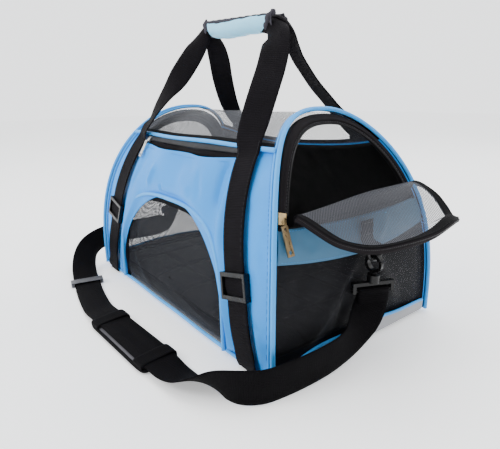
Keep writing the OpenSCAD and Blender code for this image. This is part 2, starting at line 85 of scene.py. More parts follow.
def lean(z):
    """How far the ends lean in at height z."""
    return END_LEAN * (np.maximum(z, 0) / BODY_H) ** 3


def end_x(z):
    """Distance of the end surface from the middle at height z."""
    return BODY_L / 2 - lean(z)


def half_w(z, d=0.0):
    """Half width of the body at height z, grown by d."""
    rise = np.clip((z - SIDE_H) / (BODY_H + d - SIDE_H), 0, 1)
    return (BODY_W / 2 + d) * (1 - rise ** ARCH_N) ** (1 / ARCH_N)


def arch(d, foot, n=72):
    """The body's section grown by d as (y, z), from the foot on the -Y side over the ridge to +Y."""
    a = np.linspace(0, np.pi / 2, n // 2 + 1)
    y = (BODY_W / 2 + d) * np.cos(a) ** (2 / ARCH_N)
    z = SIDE_H + (BODY_H + d - SIDE_H) * np.sin(a) ** (2 / ARCH_N)
    half = np.column_stack([-y, z])
    half = half[half[:, 1] > foot + 1e-4]
    if foot < SIDE_H:
        start = np.array([[-BODY_W / 2 - d, foot]])
    else:
        start = np.array([[-float(half_w(foot, d)), foot]])
    half = np.vstack([start, half])
    return resample(np.vstack([half, (half * [-1, 1])[-2::-1]]), n)


def leg_x(z):
    """Middle of a webbing leg at height z."""
    return 0.190 - 0.245 * z


# ---- small maths --------------------------------------------------------


def lengths(path):
    """Distance along a polyline at each of its points."""
    return np.concatenate([[0], np.cumsum(np.linalg.norm(np.diff(path, axis=0), axis=1))])


def resample(line, n, run=None):
    """n points at even steps along a polyline of any dimension, measured by its length or by run."""
    line = np.asarray(line, float)
    run = lengths(line) if run is None else run
    at = np.linspace(0, run[-1], n)
    return np.column_stack([np.interp(at, run, column) for column in line.T])


def smooth_line(points, n):
    """n points on a Catmull-Rom curve through rows of any dimension, evenly spaced in their first three."""
    p = np.asarray(points, float)
    p = np.vstack([2 * p[0] - p[1], p, 2 * p[-1] - p[-2]])
    out = []
    for i in range(1, len(p) - 2):
        t = np.linspace(0, 1, 24, endpoint=False)[:, None]
        a, b, c, d = p[i - 1], p[i], p[i + 1], p[i + 2]
        out.append(0.5 * (2 * b + (c - a) * t + (2 * a - 5 * b + 4 * c - d) * t ** 2
                          + (3 * b - a - 3 * c + d) * t ** 3))
    line = np.vstack(out + [p[-2][None]])
    return resample(line, n, lengths(line[:, :3]))


def unit(v):
    """Vectors scaled to length 1."""
    return v / np.maximum(np.linalg.norm(v, axis=-1, keepdims=True), 1e-12)


def directions(path):
    """Unit tangents of a polyline."""
    return unit(np.gradient(path, axis=0))


def bump(x, middle, width):
    """A smooth hill of height 1."""
    return np.exp(-((x - middle) / width) ** 2)


def step(x, a, b):
    """Smooth rise from 0 at a to 1 at b."""
    t = np.clip((x - a) / (b - a), 0, 1)
    return t * t * (3 - 2 * t)


def fold(x, z, start, end, width, height):
    """A soft crease of that height along a line, fading towards its ends."""
    s, e = np.array(start, float), np.array(end, float)
    along = e - s
    size = np.linalg.norm(along)
    t = ((x - s[0]) * along[0] + (z - s[1]) * along[1]) / size ** 2
    off = ((x - s[0]) * -along[1] + (z - s[1]) * along[0]) / size
    return height * np.exp(-(off / width) ** 2) * step(t, -0.15, 0.3) * (1 - step(t, 0.7, 1.15))


# ---- mesh builders ------------------------------------------------------


def make(name, verts, faces, uvs, mats, ids=None, body=CARRIER, smooth=True):
    """A mesh piece with one UV pair for each face corner, riding on a body."""
    mesh = bpy.data.meshes.new(name)
    mesh.from_pydata([tuple(v) for v in np.asarray(verts)], [], faces)
    if uvs is not None:
        layer = mesh.uv_layers.new(name="UVMap")
        layer.data.foreach_set("uv", np.asarray(uvs, np.float32).ravel())
    for m in mats:
        mesh.materials.append(m)
    if ids is not None:
        mesh.polygons.foreach_set("material_index", np.asarray(ids, np.int32))
    mesh.polygons.foreach_set("use_smooth", [smooth] * len(mesh.polygons))
    mesh.update()
    obj = bpy.data.objects.new(name, mesh)
    bpy.context.scene.collection.objects.link(obj)
    if body:
        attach(obj, body)
    return obj


def quads(nu, nv, close_u, close_v, first=0, flip=False):
    """Faces of a grid of nu by nv points, and the unwrapped grid place of each corner."""
    faces, places = [], []
    for i in range(nu - 1 + close_u):
        for j in range(nv - 1 + close_v):
            ring = [(i, j), (i + 1, j), (i + 1, j + 1), (i, j + 1)]
            if flip:
                ring.reverse()
            faces.append([first + (a % nu) * nv + b % nv for a, b in ring])
            places += ring
    return faces, places


def plane_uv(p, close_u=False, close_v=False):
    """UVs in metres from mean lengths along both directions of a grid."""
    def mean_run(q, closed):
        q = np.vstack([q, q[:1]]) if closed else q
        gaps = np.linalg.norm(np.diff(q, axis=0), axis=2).mean(axis=1)
        return np.concatenate([[0], np.cumsum(gaps)])
    u, v = mean_run(p, close_u), mean_run(p.transpose(1, 0, 2), close_v)
    return np.stack(np.meshgrid(u, v, indexing="ij"), axis=-1)


def sheet_mesh(name, p, mats, uv=None, close_u=False, flip=False, body=CARRIER):
    """A single layer of cloth through a grid of points."""
    nu, nv = p.shape[:2]
    uv = plane_uv(p, close_u) if uv is None else uv
    if close_u and len(uv) == nu:
        uv = np.concatenate([uv, uv[:1]])
    faces, places = quads(nu, nv, close_u, False, flip=flip)
    return make(name, p.reshape(-1, 3), faces, [uv[a, b] for a, b in places], mats, body=body)


def shell_mesh(name, p, thick, mats, uv=None, close_u=False, flip=False, body=CARRIER):
    """Cloth of a thickness: p is its outer face, and mats are its outer and inner finish."""
    nu, nv = p.shape[:2]
    uv = plane_uv(p, close_u) if uv is None else uv
    if close_u:
        q = np.concatenate([p[-1:], p, p[:1]])
        du = (q[2:] - q[:-2])
    else:
        du = np.gradient(p, axis=0)
    normal = unit(np.cross(du, np.gradient(p, axis=1)))
    if flip:
        normal = -normal
    inner = p - normal * thick
    faces, places = quads(nu, nv, close_u, False, flip=flip)
    ids = [0] * len(faces)
    more, more_places = quads(nu, nv, close_u, False, nu * nv, not flip)
    faces, places, ids = faces + more, places + more_places, ids + [len(mats) - 1] * len(more)
    rims = [[(i, 0) for i in range(nu + close_u)], [(i, nv - 1) for i in range(nu + close_u)]]
    if not close_u:
        rims += [[(0, j) for j in range(nv)], [(nu - 1, j) for j in range(nv)]]
    for k, rim in enumerate(rims):
        for a, b in zip(rim, rim[1:]):
            ids_a, ids_b = (a[0] % nu) * nv + a[1], (b[0] % nu) * nv + b[1]
            ring, place = [ids_a, ids_b, ids_b + nu * nv, ids_a + nu * nv], [a, b, b, a]
            if (k in (0, 3)) != flip:
                ring, place = ring[::-1], place[::-1]
            faces.append(ring)
            places += place
            ids.append(0)
    verts = np.concatenate([p.reshape(-1, 3), inner.reshape(-1, 3)])
    return make(name, verts, faces, [uv[a, b] for a, b in places], mats, ids, body)


def sweep_mesh(name, path, sections, side, mats, body=CARRIER, closed=False):
    """A band or tube: at each path point the closed section (across, up) is set up on its side vector.

    sections is one m x 2 section or one for each point; side points along the section's first axis.
    """
    path = np.asarray(path, float)
    n = len(path)
    if closed:
        q = np.vstack([path[-1:], path, path[:1]])
        along = unit(q[2:] - q[:-2])
    else:
        along = directions(path)
    side = np.broadcast_to(np.asarray(side, float), path.shape)
    up = unit(np.cross(side, along))
    across = unit(np.cross(along, up))
    sections = np.asarray(sections, float)
    if sections.ndim == 2:
        sections = np.broadcast_to(sections, (n,) + sections.shape)
    p = (path[:, None] + sections[..., :1] * across[:, None] + sections[..., 1:] * up[:, None])
    m = p.shape[1]
    mid = sections[n // 2]
    around = lengths(np.vstack([mid, mid[:1]]))
    run = lengths(np.vstack([path, path[:1]]) if closed else path)
    uv = np.stack(np.meshgrid(run, around, indexing="ij"), axis=-1)
    faces, places = quads(n, m, closed, True)
    if not closed:
        faces += [list(range(m)), [n * m - m + j for j in range(m)][::-1]]
        places += [(0, j) for j in range(m)] + [(n - 1, j) for j in range(m)][::-1]
    obj = make(name, p.reshape(-1, 3), faces, [uv[a, b] for a, b in places], mats, body=body)
    fix_normals(obj)
    return obj


def fix_normals(obj):
    """Turn a closed mesh's faces outwards."""
    bm = bmesh.new()
    bm.from_mesh(obj.data)
    bmesh.ops.recalc_face_normals(bm, faces=bm.faces)
    bm.to_mesh(obj.data)
    bm.free()


def ring_section(r, n=14):
    """A circle of n points."""
    a = 2 * np.pi * np.arange(n) / n
    return r * np.column_stack([np.cos(a), np.sin(a)])


def band_section(width, thick, n=9, curl=0.0):
    """Section of a webbing: width across, with rounded edges, curled by an angle across its width.

    The points run from one edge over the top to the other, and back underneath.
    """
    s = np.linspace(-1, 1, n)
    if abs(curl) > 1e-3:
        r = width / curl
        line = np.column_stack([r * np.sin(s * curl / 2), r * (1 - np.cos(s * curl / 2))])
        normal = np.column_stack([-np.sin(s * curl / 2), np.cos(s * curl / 2)])
    else:
        line = np.column_stack([s * width / 2, 0 * s])
        normal = np.tile([0.0, 1.0], (n, 1))
    half = thick / 2 * np.where(np.abs(s) > 0.99, 0.55, 1.0)[:, None]
    return np.vstack([line + normal * half, (line - normal * half)[::-1]])


def tube(name, path, r, mats, body=CARRIER, side=(1, 0, 0), closed=False, n=14):
    """A round cord of radius r along a path."""
    return sweep_mesh(name, path, ring_section(r, n), side, mats, body, closed)


def strip(name, path, width, thick, side, mats, body=CARRIER, **how):
    """A flat band along a path."""
    return sweep_mesh(name, path, band_section(width, thick, **how), side, mats, body)


def dashes(name, line, normals, mat, body=CARRIER, long=0.0024, gap=0.0014, r=0.00032):
    """A row of stitches that stand on a surface along a line."""
    n = max(2, int(lengths(line)[-1] / (long + gap)))
    both = resample(np.hstack([line, np.broadcast_to(normals, line.shape)]), 2 * n + 1)
    verts, faces = [], []
    for i in range(n):
        a, b = both[2 * i, :3], both[2 * i + 1, :3]
        along = unit(b - a)
        up = unit(both[2 * i, 3:])
        side = np.cross(along, up)
        first = len(verts)
        verts.append(a - along * r - up * r)
        for q in (a, b):
            verts += [q + side * r, q + up * r * 1.2, q - side * r, q - up * r]
        verts.append(b + along * r - up * r)
        for j in range(4):
            k = (j + 1) % 4
            faces += [[first, first + 1 + k, first + 1 + j],
                      [first + 1 + j, first + 1 + k, first + 5 + k, first + 5 + j],
                      [first + 9, first + 5 + j, first + 5 + k]]
    return make(name, verts, faces, None, [mat], body=body)


def teeth(name, line, ups, mat, body=CARRIER, pitch=0.0017, wide=0.0034, tall=0.0012):
    """A zip's coil as a row of small rounded teeth across a line; ups is the surface's normal."""
    n = max(2, int(lengths(line)[-1] / pitch))
    both = resample(np.hstack([line, np.broadcast_to(ups, line.shape)]), n)
    along = directions(both[:, :3])
    verts, faces = [], []
    for i in range(n):
        c, up, t = both[i, :3], unit(both[i, 3:]), along[i]
        side = unit(np.cross(t, up))
        first = len(verts)
        long = pitch * 0.36
        for e, lift, w in ((-1, 0, 1), (1, 0, 1), (-0.7, 1, 0.62), (0.7, 1, 0.62)):
            for s in (-1, 1):
                verts.append(c + t * long * e + side * s * wide / 2 * w + up * tall * (lift - 0.2))
        f = first
        faces += [[f, f + 2, f + 3, f + 1], [f + 4, f + 5, f + 7, f + 6], [f, f + 1, f + 5, f + 4],
                  [f + 2, f + 6, f + 7, f + 3], [f, f + 4, f + 6, f + 2], [f + 1, f + 3, f + 7, f + 5]]
    obj = make(name, verts, faces, None, [mat], body=body, smooth=False)
    fix_normals(obj)
    return obj


def between(inner, outer, nv):
    """Grid of plane points from one outline to another with the same number of points."""
    v = np.linspace(0, 1, nv)[None, :, None]
    return inner[:, None] * (1 - v) + outer[:, None] * v


def refined(node, mat, bevel=0.0006, body=None, segments=2, angle=35):
    """A copy of a hard CAD node with its edges rounded, which stands for it."""
    source = frame["nodes"][node]
    mesh = source.data.copy()
    mesh.materials.clear()
    mesh.materials.append(mat)
    obj = bpy.data.objects.new(node + "_finished", mesh)
    bpy.context.scene.collection.objects.link(obj)
    bm = bmesh.new()
    bm.from_mesh(mesh)
    bmesh.ops.remove_doubles(bm, verts=bm.verts, dist=1e-6)
    bmesh.ops.dissolve_limit(bm, angle_limit=math.radians(1), verts=bm.verts, edges=bm.edges)
    sharp = [e for e in bm.edges
             if len(e.link_faces) == 2 and e.calc_face_angle() > math.radians(angle)]
    bmesh.ops.bevel(bm, geom=sharp, offset=bevel, offset_type="OFFSET", segments=segments,
                    profile=0.5, affect="EDGES", clamp_overlap=True)
    bm.to_mesh(mesh)
    bm.free()
    mesh.polygons.foreach_set("use_smooth", [True] * len(mesh.polygons))
    mesh.update()
    obj.modifiers.new("normals", "WEIGHTED_NORMAL").keep_sharp = False
    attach(obj, body or node_body[node])
    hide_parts(node)
    return obj


node_body = {n: body for body, nodes in frame["record"]["behaviour"]["bodies"].items() for n in nodes}
CLOTH_FRAMES = 20


def puffed(obj, voxel, pressure, cap):
    """Swell a closed pad with a cloth simulation, then apply the result."""
    fix_normals(obj)
    view = bpy.context.view_layer
    for o in bpy.context.selected_objects:
        o.select_set(False)
    view.objects.active = obj
    obj.select_set(True)
    remesh = obj.modifiers.new("remesh", "REMESH")
    remesh.mode, remesh.voxel_size = "VOXEL", voxel
    bpy.ops.object.modifier_apply(modifier=remesh.name)
    start = np.array([v.co for v in obj.data.vertices])
    cloth = obj.modifiers.new("cloth", "CLOTH")
    s = cloth.settings
    s.quality, s.mass = 5, 0.2
    s.use_pressure, s.uniform_pressure_force = True, pressure
    s.tension_stiffness = s.compression_stiffness = 8
    s.shear_stiffness, s.bending_stiffness = 4, 0.4
    s.effector_weights.gravity = 0
    cloth.point_cache.frame_start, cloth.point_cache.frame_end = 1, CLOTH_FRAMES
    scene = bpy.context.scene
    for f in range(1, 1 + CLOTH_FRAMES):
        scene.frame_set(f)
    puffy = obj.evaluated_get(bpy.context.evaluated_depsgraph_get())
    end = np.array([v.co for v in puffy.data.vertices])
    obj.modifiers.remove(cloth)
    scene.frame_set(1)
    move = end - start
    size = np.linalg.norm(move, axis=1, keepdims=True)
    move *= np.minimum(1, cap / np.maximum(size, 1e-9))
    obj.data.vertices.foreach_set("co", (start + move).ravel())
    smooth = obj.modifiers.new("smooth", "SMOOTH")
    smooth.factor, smooth.iterations = 0.5, 4
    bpy.ops.object.modifier_apply(modifier=smooth.name)
    sub = obj.modifiers.new("subdivision", "SUBSURF")
    sub.levels = sub.render_levels = 1
    bpy.ops.object.modifier_apply(modifier=sub.name)
    obj.data.polygons.foreach_set("use_smooth", [True] * len(obj.data.polygons))
    return obj


# ---- camera -------------------------------------------------------------

CAMERA_AT = Vector((0.5147, -0.3841, 0.2864))
CAMERA_FORWARD = Vector((-0.76085, 0.58410, -0.28273))
CAMERA_UP = Vector((-0.21643, 0.18234, 0.95912))

camera = bpy.data.objects.new("camera", bpy.data.cameras.new("camera"))
bpy.context.scene.collection.objects.link(camera)
back = -CAMERA_FORWARD.normalized()
right = CAMERA_UP.cross(back).normalized()
turned_to = Matrix((right, back.cross(right), back)).transposed().to_4x4()
camera.matrix_world = Matrix.Translation(CAMERA_AT) @ turned_to
camera.data.sensor_width = 36
camera.data.lens = 31.57
camera.data.clip_start = 0.01
bpy.context.scene.camera = camera


# ---- materials ----------------------------------------------------------


def linear(r, g, b):
    """Linear colour from 8-bit display values."""
    out = [c / 255 / 12.92 if c <= 10 else ((c / 255 + 0.055) / 1.055) ** 2.4 for c in (r, g, b)]
    return out + [1.0]


def tint(colour, k):
    """A colour made lighter or darker by a factor."""
    return [min(1, c * k) for c in colour[:3]] + [1.0]


class Finish:
    """A node material with short calls for its pattern."""

    def __init__(self, name, roughness=0.5, metallic=0.0, specular=0.5):
        self.mat = bpy.data.materials.new(name)
        self.mat.use_nodes = True
        self.tree = self.mat.node_tree
        self.bsdf = self.tree.nodes["Principled BSDF"]
        self.bsdf.inputs["Roughness"].default_value = roughness
        self.bsdf.inputs["Metallic"].default_value = metallic
        self.bsdf.inputs["Specular IOR Level"].default_value = specular
        self.coords = self.tree.nodes.new("ShaderNodeTexCoord")
        split = self.tree.nodes.new("ShaderNodeSeparateXYZ")
        self.tree.links.new(self.coords.outputs["UV"], split.inputs[0])
        self.u, self.v = split.outputs[0], split.outputs[1]

    def put(self, socket, value):
        """Feed a socket with a link or a plain value."""
        if isinstance(value, bpy.types.NodeSocket):
            self.tree.links.new(value, socket)
        else:
            socket.default_value = value

    def math(self, op, a, b=0.0, c=0.0):
        """One maths step of up to three values."""
        node = self.tree.nodes.new("ShaderNodeMath")
        node.operation = op
        for k, value in enumerate((a, b, c)):
            self.put(node.inputs[k], value)
        return node.outputs[0]

    def ripple(self, x, pitch):
        """-1 to 1 wave along x."""
        return self.math("SINE", self.math("MULTIPLY", x, 2 * math.pi / pitch))

    def noise(self, scale, detail=3.0, rough=0.55, stretch=None):
        """Cloudy noise fixed to the object."""
        node = self.tree.nodes.new("ShaderNodeTexNoise")
        node.inputs["Scale"].default_value = scale
        node.inputs["Detail"].default_value = detail
        node.inputs["Roughness"].default_value = rough
        source = self.coords.outputs["Object"]
        if stretch:
            mapping = self.tree.nodes.new("ShaderNodeMapping")
            mapping.inputs["Scale"].default_value = stretch
            self.tree.links.new(source, mapping.inputs[0])
            source = mapping.outputs[0]
        self.tree.links.new(source, node.inputs["Vector"])
        return node.outputs["Fac"]

    def ramp(self, x, low, high, a, b):
        """Map x from low..high to a..b, held at the ends."""
        node = self.tree.nodes.new("ShaderNodeMapRange")
        self.put(node.inputs[0], x)
        for k, value in enumerate((low, high, a, b)):
            node.inputs[k + 1].default_value = value
        return node.outputs[0]

    def mix(self, fac, a, b):
        """A colour between a and b."""
        node = self.tree.nodes.new("ShaderNodeMix")
        node.data_type = "RGBA"
        self.put(node.inputs[0], fac)
        self.put(node.inputs[6], a)
        self.put(node.inputs[7], b)
        return node.outputs[2]

    def colour(self, value):
        """Set the base colour."""
        self.put(self.bsdf.inputs["Base Color"], value)
        return self

    def relief(self, height, distance, strength=1.0):
        """Bumps from a height."""
        node = self.tree.nodes.new("ShaderNodeBump")
        node.inputs["Distance"].default_value = distance
        node.inputs["Strength"].default_value = strength
        self.put(node.inputs["Height"], height)
        self.put(self.bsdf.inputs["Normal"], node.outputs[0])
        return self

    def coat(self, weight, roughness=0.2):
        """A clear coat."""
        self.bsdf.inputs["Coat Weight"].default_value = weight
        self.bsdf.inputs["Coat Roughness"].default_value = roughness
        return self


def coated_cloth(name, colour, pitch=0.0007, roughness=0.42, slub=0.10, depth=0.00012, gloss=0.25):
    """Tightly woven cloth with a coating: a fine plain weave, faint slubs, a soft gloss."""
    f = Finish(name, roughness, specular=gloss)
    weave = f.math("MULTIPLY", f.ripple(f.u, pitch), f.ripple(f.v, pitch))
    cloud = f.noise(9, 4)
    threads = f.noise(1200, 2, stretch=(1, 1, 0.08))
    base = f.mix(f.ramp(cloud, 0.3, 0.7, 0, 1), tint(colour, 1 - slub), tint(colour, 1 + slub * 0.8))
    base = f.mix(f.ramp(weave, -1, 1, 0, 0.22), base, tint(colour, 0.72))
    f.colour(base)
    f.put(f.bsdf.inputs["Roughness"], f.ramp(f.noise(60, 3), 0.3, 0.7, roughness - 0.06, roughness + 0.08))
    height = f.math("ADD", f.math("MULTIPLY", weave, 0.35), f.math("MULTIPLY", threads, 0.5))
    return f.relief(height, depth, 0.7).mat


def ribbed_webbing(name, colour, rib=0.0019, chevron=0.0085, roughness=0.62):
    """Webbing: ribs across its length under a herringbone."""
    f = Finish(name, roughness, specular=0.03)
    saw = f.math("PINGPONG", f.v, chevron)
    slant = f.math("ADD", f.u, f.math("MULTIPLY", saw, 0.9))
    twill = f.ripple(slant, rib)
    ribs = f.ripple(f.u, rib * 1.5)
    fine = f.ripple(f.v, 0.0011)
    height = f.math("ADD", f.math("MULTIPLY", twill, 0.5), f.math("MULTIPLY", ribs, 0.35))
    height = f.math("ADD", height, f.math("MULTIPLY", fine, 0.15))
    lint = f.noise(26, 4)
    # Colour follows the weave's height: painted shade in the rib grooves and a painted highlight on the ridges.
    base = f.mix(f.ramp(height, -0.9, 0.9, 0, 1), tint(colour, 0.55), tint(colour, 1.35))
    base = f.mix(f.ramp(lint, 0.35, 0.75, 0, 0.35), base, tint(colour, 1.9))
    f.colour(base)
    return f.relief(height, 0.0006, 0.9).mat


def netting(name, colour, pitch, thread):
    """Woven plastic-coated net: threads both ways with see-through holes on a staggered grid."""
    f = Finish(name, 0.45, specular=0.05)
    half = pitch / math.sqrt(8)
    lines = [f.math("ABSOLUTE", f.math("SUBTRACT", f.math("PINGPONG", x, 2 * half), half))
             for x in (f.math("ADD", f.u, f.v), f.math("SUBTRACT", f.u, f.v))]
    far = f.math("MAXIMUM", *lines)
    # The thread crossings are painted lighter: a painted highlight on the raised knots.
    painted_knot_highlight = f.ramp(f.math("MINIMUM", *lines), half - thread, half, 0, 1)
    base = f.mix(painted_knot_highlight, colour, tint(colour, 1.7))
    f.colour(f.mix(f.ramp(f.noise(14, 3), 0.3, 0.7, 0, 0.4), base, tint(colour, 0.7)))
    f.put(f.bsdf.inputs["Alpha"], f.ramp(far, half - thread * 0.75, half - thread * 0.35, 0, 1))
    return f.relief(far, 0.0006, 0.6).mat


def moulded(name, colour, roughness=0.3):
    """Glossy moulded plastic with a faint grain and handling scuffs."""
    f = Finish(name, roughness, specular=0.22)
    grain = f.noise(900, 2)
    scuff = f.noise(70, 5, 0.7)
    f.colour(f.mix(f.ramp(scuff, 0.55, 0.75, 0, 0.5), colour, tint(colour, 1.6)))
    f.put(f.bsdf.inputs["Roughness"], f.ramp(scuff, 0.35, 0.7, roughness - 0.08, roughness + 0.2))
    return f.relief(grain, 0.00004, 0.5).coat(0.04).mat


def plated(name, colour, roughness=0.25):
    """Plated zip metal with brushed scratches and darker worn patches."""
    f = Finish(name, roughness, metallic=1.0)
    scratch = f.noise(500, 3, stretch=(1, 1, 0.05))
    worn = f.noise(160, 4)
    f.colour(f.mix(f.ramp(worn, 0.45, 0.7, 0, 0.6), colour, tint(colour, 0.6)))
    f.put(f.bsdf.inputs["Roughness"], f.ramp(scratch, 0.3, 0.7, roughness - 0.08, roughness + 0.15))
    return f.relief(scratch, 0.00005, 0.5).mat


SKY = [0.022, 0.300, 0.84, 1.0]
PIPE = [0.052, 0.370, 0.88, 1.0]
GRIP_BLUE = [0.30, 0.72, 0.98, 1.0]
BLACK_CLOTH = linear(22, 21, 24)
INSIDE = linear(7, 7, 9)
WEB_BLACK = linear(21, 19, 22)
STRAP_BLACK = linear(14, 13, 15)
TAPE_BLACK = linear(20, 19, 21)

sky = coated_cloth("sky_cloth", SKY, roughness=0.36, gloss=0.15)
# The bands' cloth is a darker, duller copy of the sky cloth: painted shade for the ends, which stand in shade.
shaded_band_cloth = coated_cloth("shaded_band_cloth", [0.048, 0.150, 0.26, 1.0], roughness=0.4, gloss=0.2)
lining = coated_cloth("inner_lining", INSIDE, roughness=0.6)
piping_cloth = coated_cloth("piping_cloth", PIPE, pitch=0.0009, roughness=0.32, slub=0.06, gloss=0.15)
grip_cloth = coated_cloth("grip_cloth", GRIP_BLUE, roughness=0.4, slub=0.05)
black_cloth = coated_cloth("black_cloth", BLACK_CLOTH, roughness=0.55)
pad_cloth = coated_cloth("pad_cloth", linear(88, 87, 92), roughness=0.6, gloss=0.12)
grey_cloth = coated_cloth("grey_base_cloth", linear(166, 167, 171), roughness=0.5)
mat_cloth = coated_cloth("mat_cloth", linear(30, 30, 33), pitch=0.0011, roughness=0.6, depth=0.0002)
board_finish = coated_cloth("board_finish", linear(40, 40, 42), pitch=0.0014, roughness=0.6)
webbing = ribbed_webbing("handle_webbing", WEB_BLACK)
strap_webbing = ribbed_webbing("strap_webbing", STRAP_BLACK, rib=0.0016, chevron=0.0095)
binding = ribbed_webbing("binding_tape", TAPE_BLACK, rib=0.0009, chevron=0.1, roughness=0.55)
zip_tape = ribbed_webbing("zip_tape", linear(36, 33, 35), rib=0.0008, chevron=0.1, roughness=0.6)
fleece = coated_cloth("grip_lining", linear(66, 64, 72), pitch=0.0016, roughness=0.9, slub=0.3, depth=0.0006)
window_net = netting("window_net", linear(40, 41, 46), 0.0024, 0.00050)
end_net = netting("end_net", linear(24, 24, 27), 0.0024, 0.00078)
top_net = netting("top_net", linear(92, 93, 98), 0.0024, 0.00044)
door_net = netting("door_net", linear(70, 71, 76), 0.0032, 0.00086)
thread_blue = coated_cloth("blue_thread", tint(SKY, 0.75), pitch=0.0004)
thread_black = coated_cloth("black_thread", linear(44, 42, 46), pitch=0.0004)
thread_grey = coated_cloth("grey_thread", linear(92, 93, 98), pitch=0.0004)
plastic = moulded("black_plastic", linear(9, 9, 10), 0.24)
coil = moulded("zip_coil", linear(30, 29, 31), 0.35)
silver = plated("zip_silver", linear(206, 204, 198))
brass = plated("zip_brass", linear(222, 190, 138))
bronze = plated("puller_bronze", linear(176, 150, 112), 0.3)
steel = plated("spring_steel", linear(150, 150, 152), 0.35)
adjuster_metal = plated("adjuster_metal", linear(84, 85, 90), 0.34)

# ---- walls --------------------------------------------------------------


def seam_height(x, side):
    """Height of a top seam at x: the back wall's edge sags between its ends."""
    sag = 0.0180 if side > 0 else 0.0010
    return SEAM_Z - sag * np.clip(1 - (x / SEAM_HALF) ** 2, 0, 1) + 0.0006 * np.sin(x / 0.031)


def window_outline(g, n=90, foot=WINDOW_SILL):
    """The window's arch grown by g as (x, z), from its left foot to its right one."""
    t = np.linspace(0, np.pi / 2, 60)
    x = (WINDOW_HALF + g) * np.cos(t) ** (2 / WINDOW_N)
    z = WINDOW_SILL + (WINDOW_TOP + g - WINDOW_SILL) * np.sin(t) ** (2 / WINDOW_N)
    half = np.column_stack([-x, z])
    line = np.vstack([[-(WINDOW_HALF + g), foot], half, (half * [-1, 1])[-2::-1],
                      [WINDOW_HALF + g, foot]])
    return resample(line, n)


def on_wall(xz, depth, side):
    """Points of the front (side -1) or back (+1) wall from (x, z) and a depth outwards."""
    x, z = xz[..., 0], xz[..., 1]
    return np.stack([x, side * half_w(z, depth), z], axis=-1)


def wall_normal(z, side):
    """Outward directions of a wall at heights z."""
    slope = (half_w(z - 0.002) - half_w(z + 0.002)) / 0.004
    n = np.stack([0 * z, side * np.ones_like(z), slope], axis=-1)
    return unit(n)


def ray_match(inner, outer, centre):
    """For each outer point, the inner outline's point in the same direction from the centre."""
    near, far = inner - centre, outer - centre
    ai, ao = (np.arctan2(q[:, 1], q[:, 0]) for q in (near, far))
    r = np.interp(-ao, -ai, np.linalg.norm(near, axis=1))
    return centre + r[:, None] * np.column_stack([np.cos(ao), np.sin(ao)])


def wall(side):
    """Padded wall, round its window on the front: it swells between legs, seams and piping."""
    z = np.linspace(0.004, SEAM_Z, 46)
    up = np.column_stack([-end_x(z) - 0.0004, z])
    seam_x = np.linspace(up[-1, 0], -up[-1, 0], 92)
    across = np.column_stack([seam_x, seam_height(seam_x, side)])
    outer = np.vstack([up, across[1:-1], (up * [-1, 1])[::-1]])
    if side < 0:
        inner = ray_match(window_outline(0, 200, 0.004), outer, np.array([0.0, 0.003]))
        inner[0], inner[-1] = (-WINDOW_HALF, 0.004), (WINDOW_HALF, 0.004)
    else:
        inner = outer * [0.02, 0.0] + [0, 0.004]
    xz = between(inner, outer, 34)
    x, zz = xz[..., 0], xz[..., 1]
    edge = step(end_x(zz) - np.abs(x), 0.004, 0.022)
    beside = step(np.abs(x), leg_x(zz) + 0.012, leg_x(zz) + 0.026)
    depth = 0.0032 * edge * beside * step(zz, 0.0, 0.03) * (1 - step(zz, 0.19, 0.23))
    depth += 0.0016 * bump(zz, 0.045, 0.03) * beside * edge
    for s in (-1, 1):
        depth += fold(x * s, zz, (0.196, 0.062), (0.219, 0.048), 0.0035, -0.0022) * edge
        depth += fold(x * s, zz, (0.192, 0.150), (0.205, 0.120), 0.006, -0.0012)
        depth += fold(x * s, zz, (0.152, 0.200), (0.168, 0.178), 0.005, 0.0012)
        if side > 0:
            depth += fold(x * s, zz, (0.030, 0.205), (0.085, 0.120), 0.012, 0.0030)
            depth += fold(x * s, zz, (0.012, 0.110), (0.100, 0.035), 0.014, -0.0026)
    name = "front_wall" if side < 0 else "back_wall"
    obj = shell_mesh(name, on_wall(xz, depth, side), 0.0026, [sky, lining], uv=xz, flip=side > 0)
    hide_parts("front_panel" if side < 0 else "back_panel")
    return obj


def closed_window(g):
    """The window's whole outline grown by g, with its sill."""
    arch_line = window_outline(g, 120, WINDOW_SILL - 0.003)
    sill = np.linspace(arch_line[-1], arch_line[0], 60)[1:-1]
    return np.vstack([arch_line, sill])


def window_panel():
    """Net stretched over the window, with the slack it has above the floor mat."""
    outline = closed_window(0.003)
    xz = between(np.array([[0.0, 0.045]]) + (outline - [0.0, 0.045]) * 0.02, outline, 40)
    x, z = xz[..., 0], xz[..., 1]
    depth = -0.0012 - 0.004 * np.clip(1 - (np.abs(x) / 0.14) ** 2, 0, 1) * bump(z, 0.062, 0.035)
    depth += 0.0025 * bump(z, 0.024, 0.012)
    for crease in (
            ((-0.120, 0.060), (-0.045, 0.012), 0.006, 0.0028),
            ((-0.100, 0.120), (-0.118, 0.030), 0.007, -0.002),
            ((0.115, 0.110), (0.128, 0.020), 0.006, -0.0018),
            ((-0.02, 0.04), (0.11, 0.024), 0.005, 0.0018)):
        depth += fold(x, z, *crease)
    depth = np.clip(depth, -0.0065, 0.0018)
    fade = step(np.linspace(1, 0, 40), 0, 0.12)[None, :]
    depth = -0.0012 + (depth + 0.0012) * fade
    obj = sheet_mesh("front_window_net", on_wall(xz, depth, -1), [window_net], uv=xz, close_u=True, flip=True)
    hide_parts("front_window_mesh")
    return obj


def pocket_top(x):
    """Height of the pocket's free upper edge, which sags away from the zip."""
    return 0.2195 - 0.0035 * np.clip(1 - (x / 0.115) ** 2, 0, 1) - 0.001 * bump(x, 0.05, 0.04)


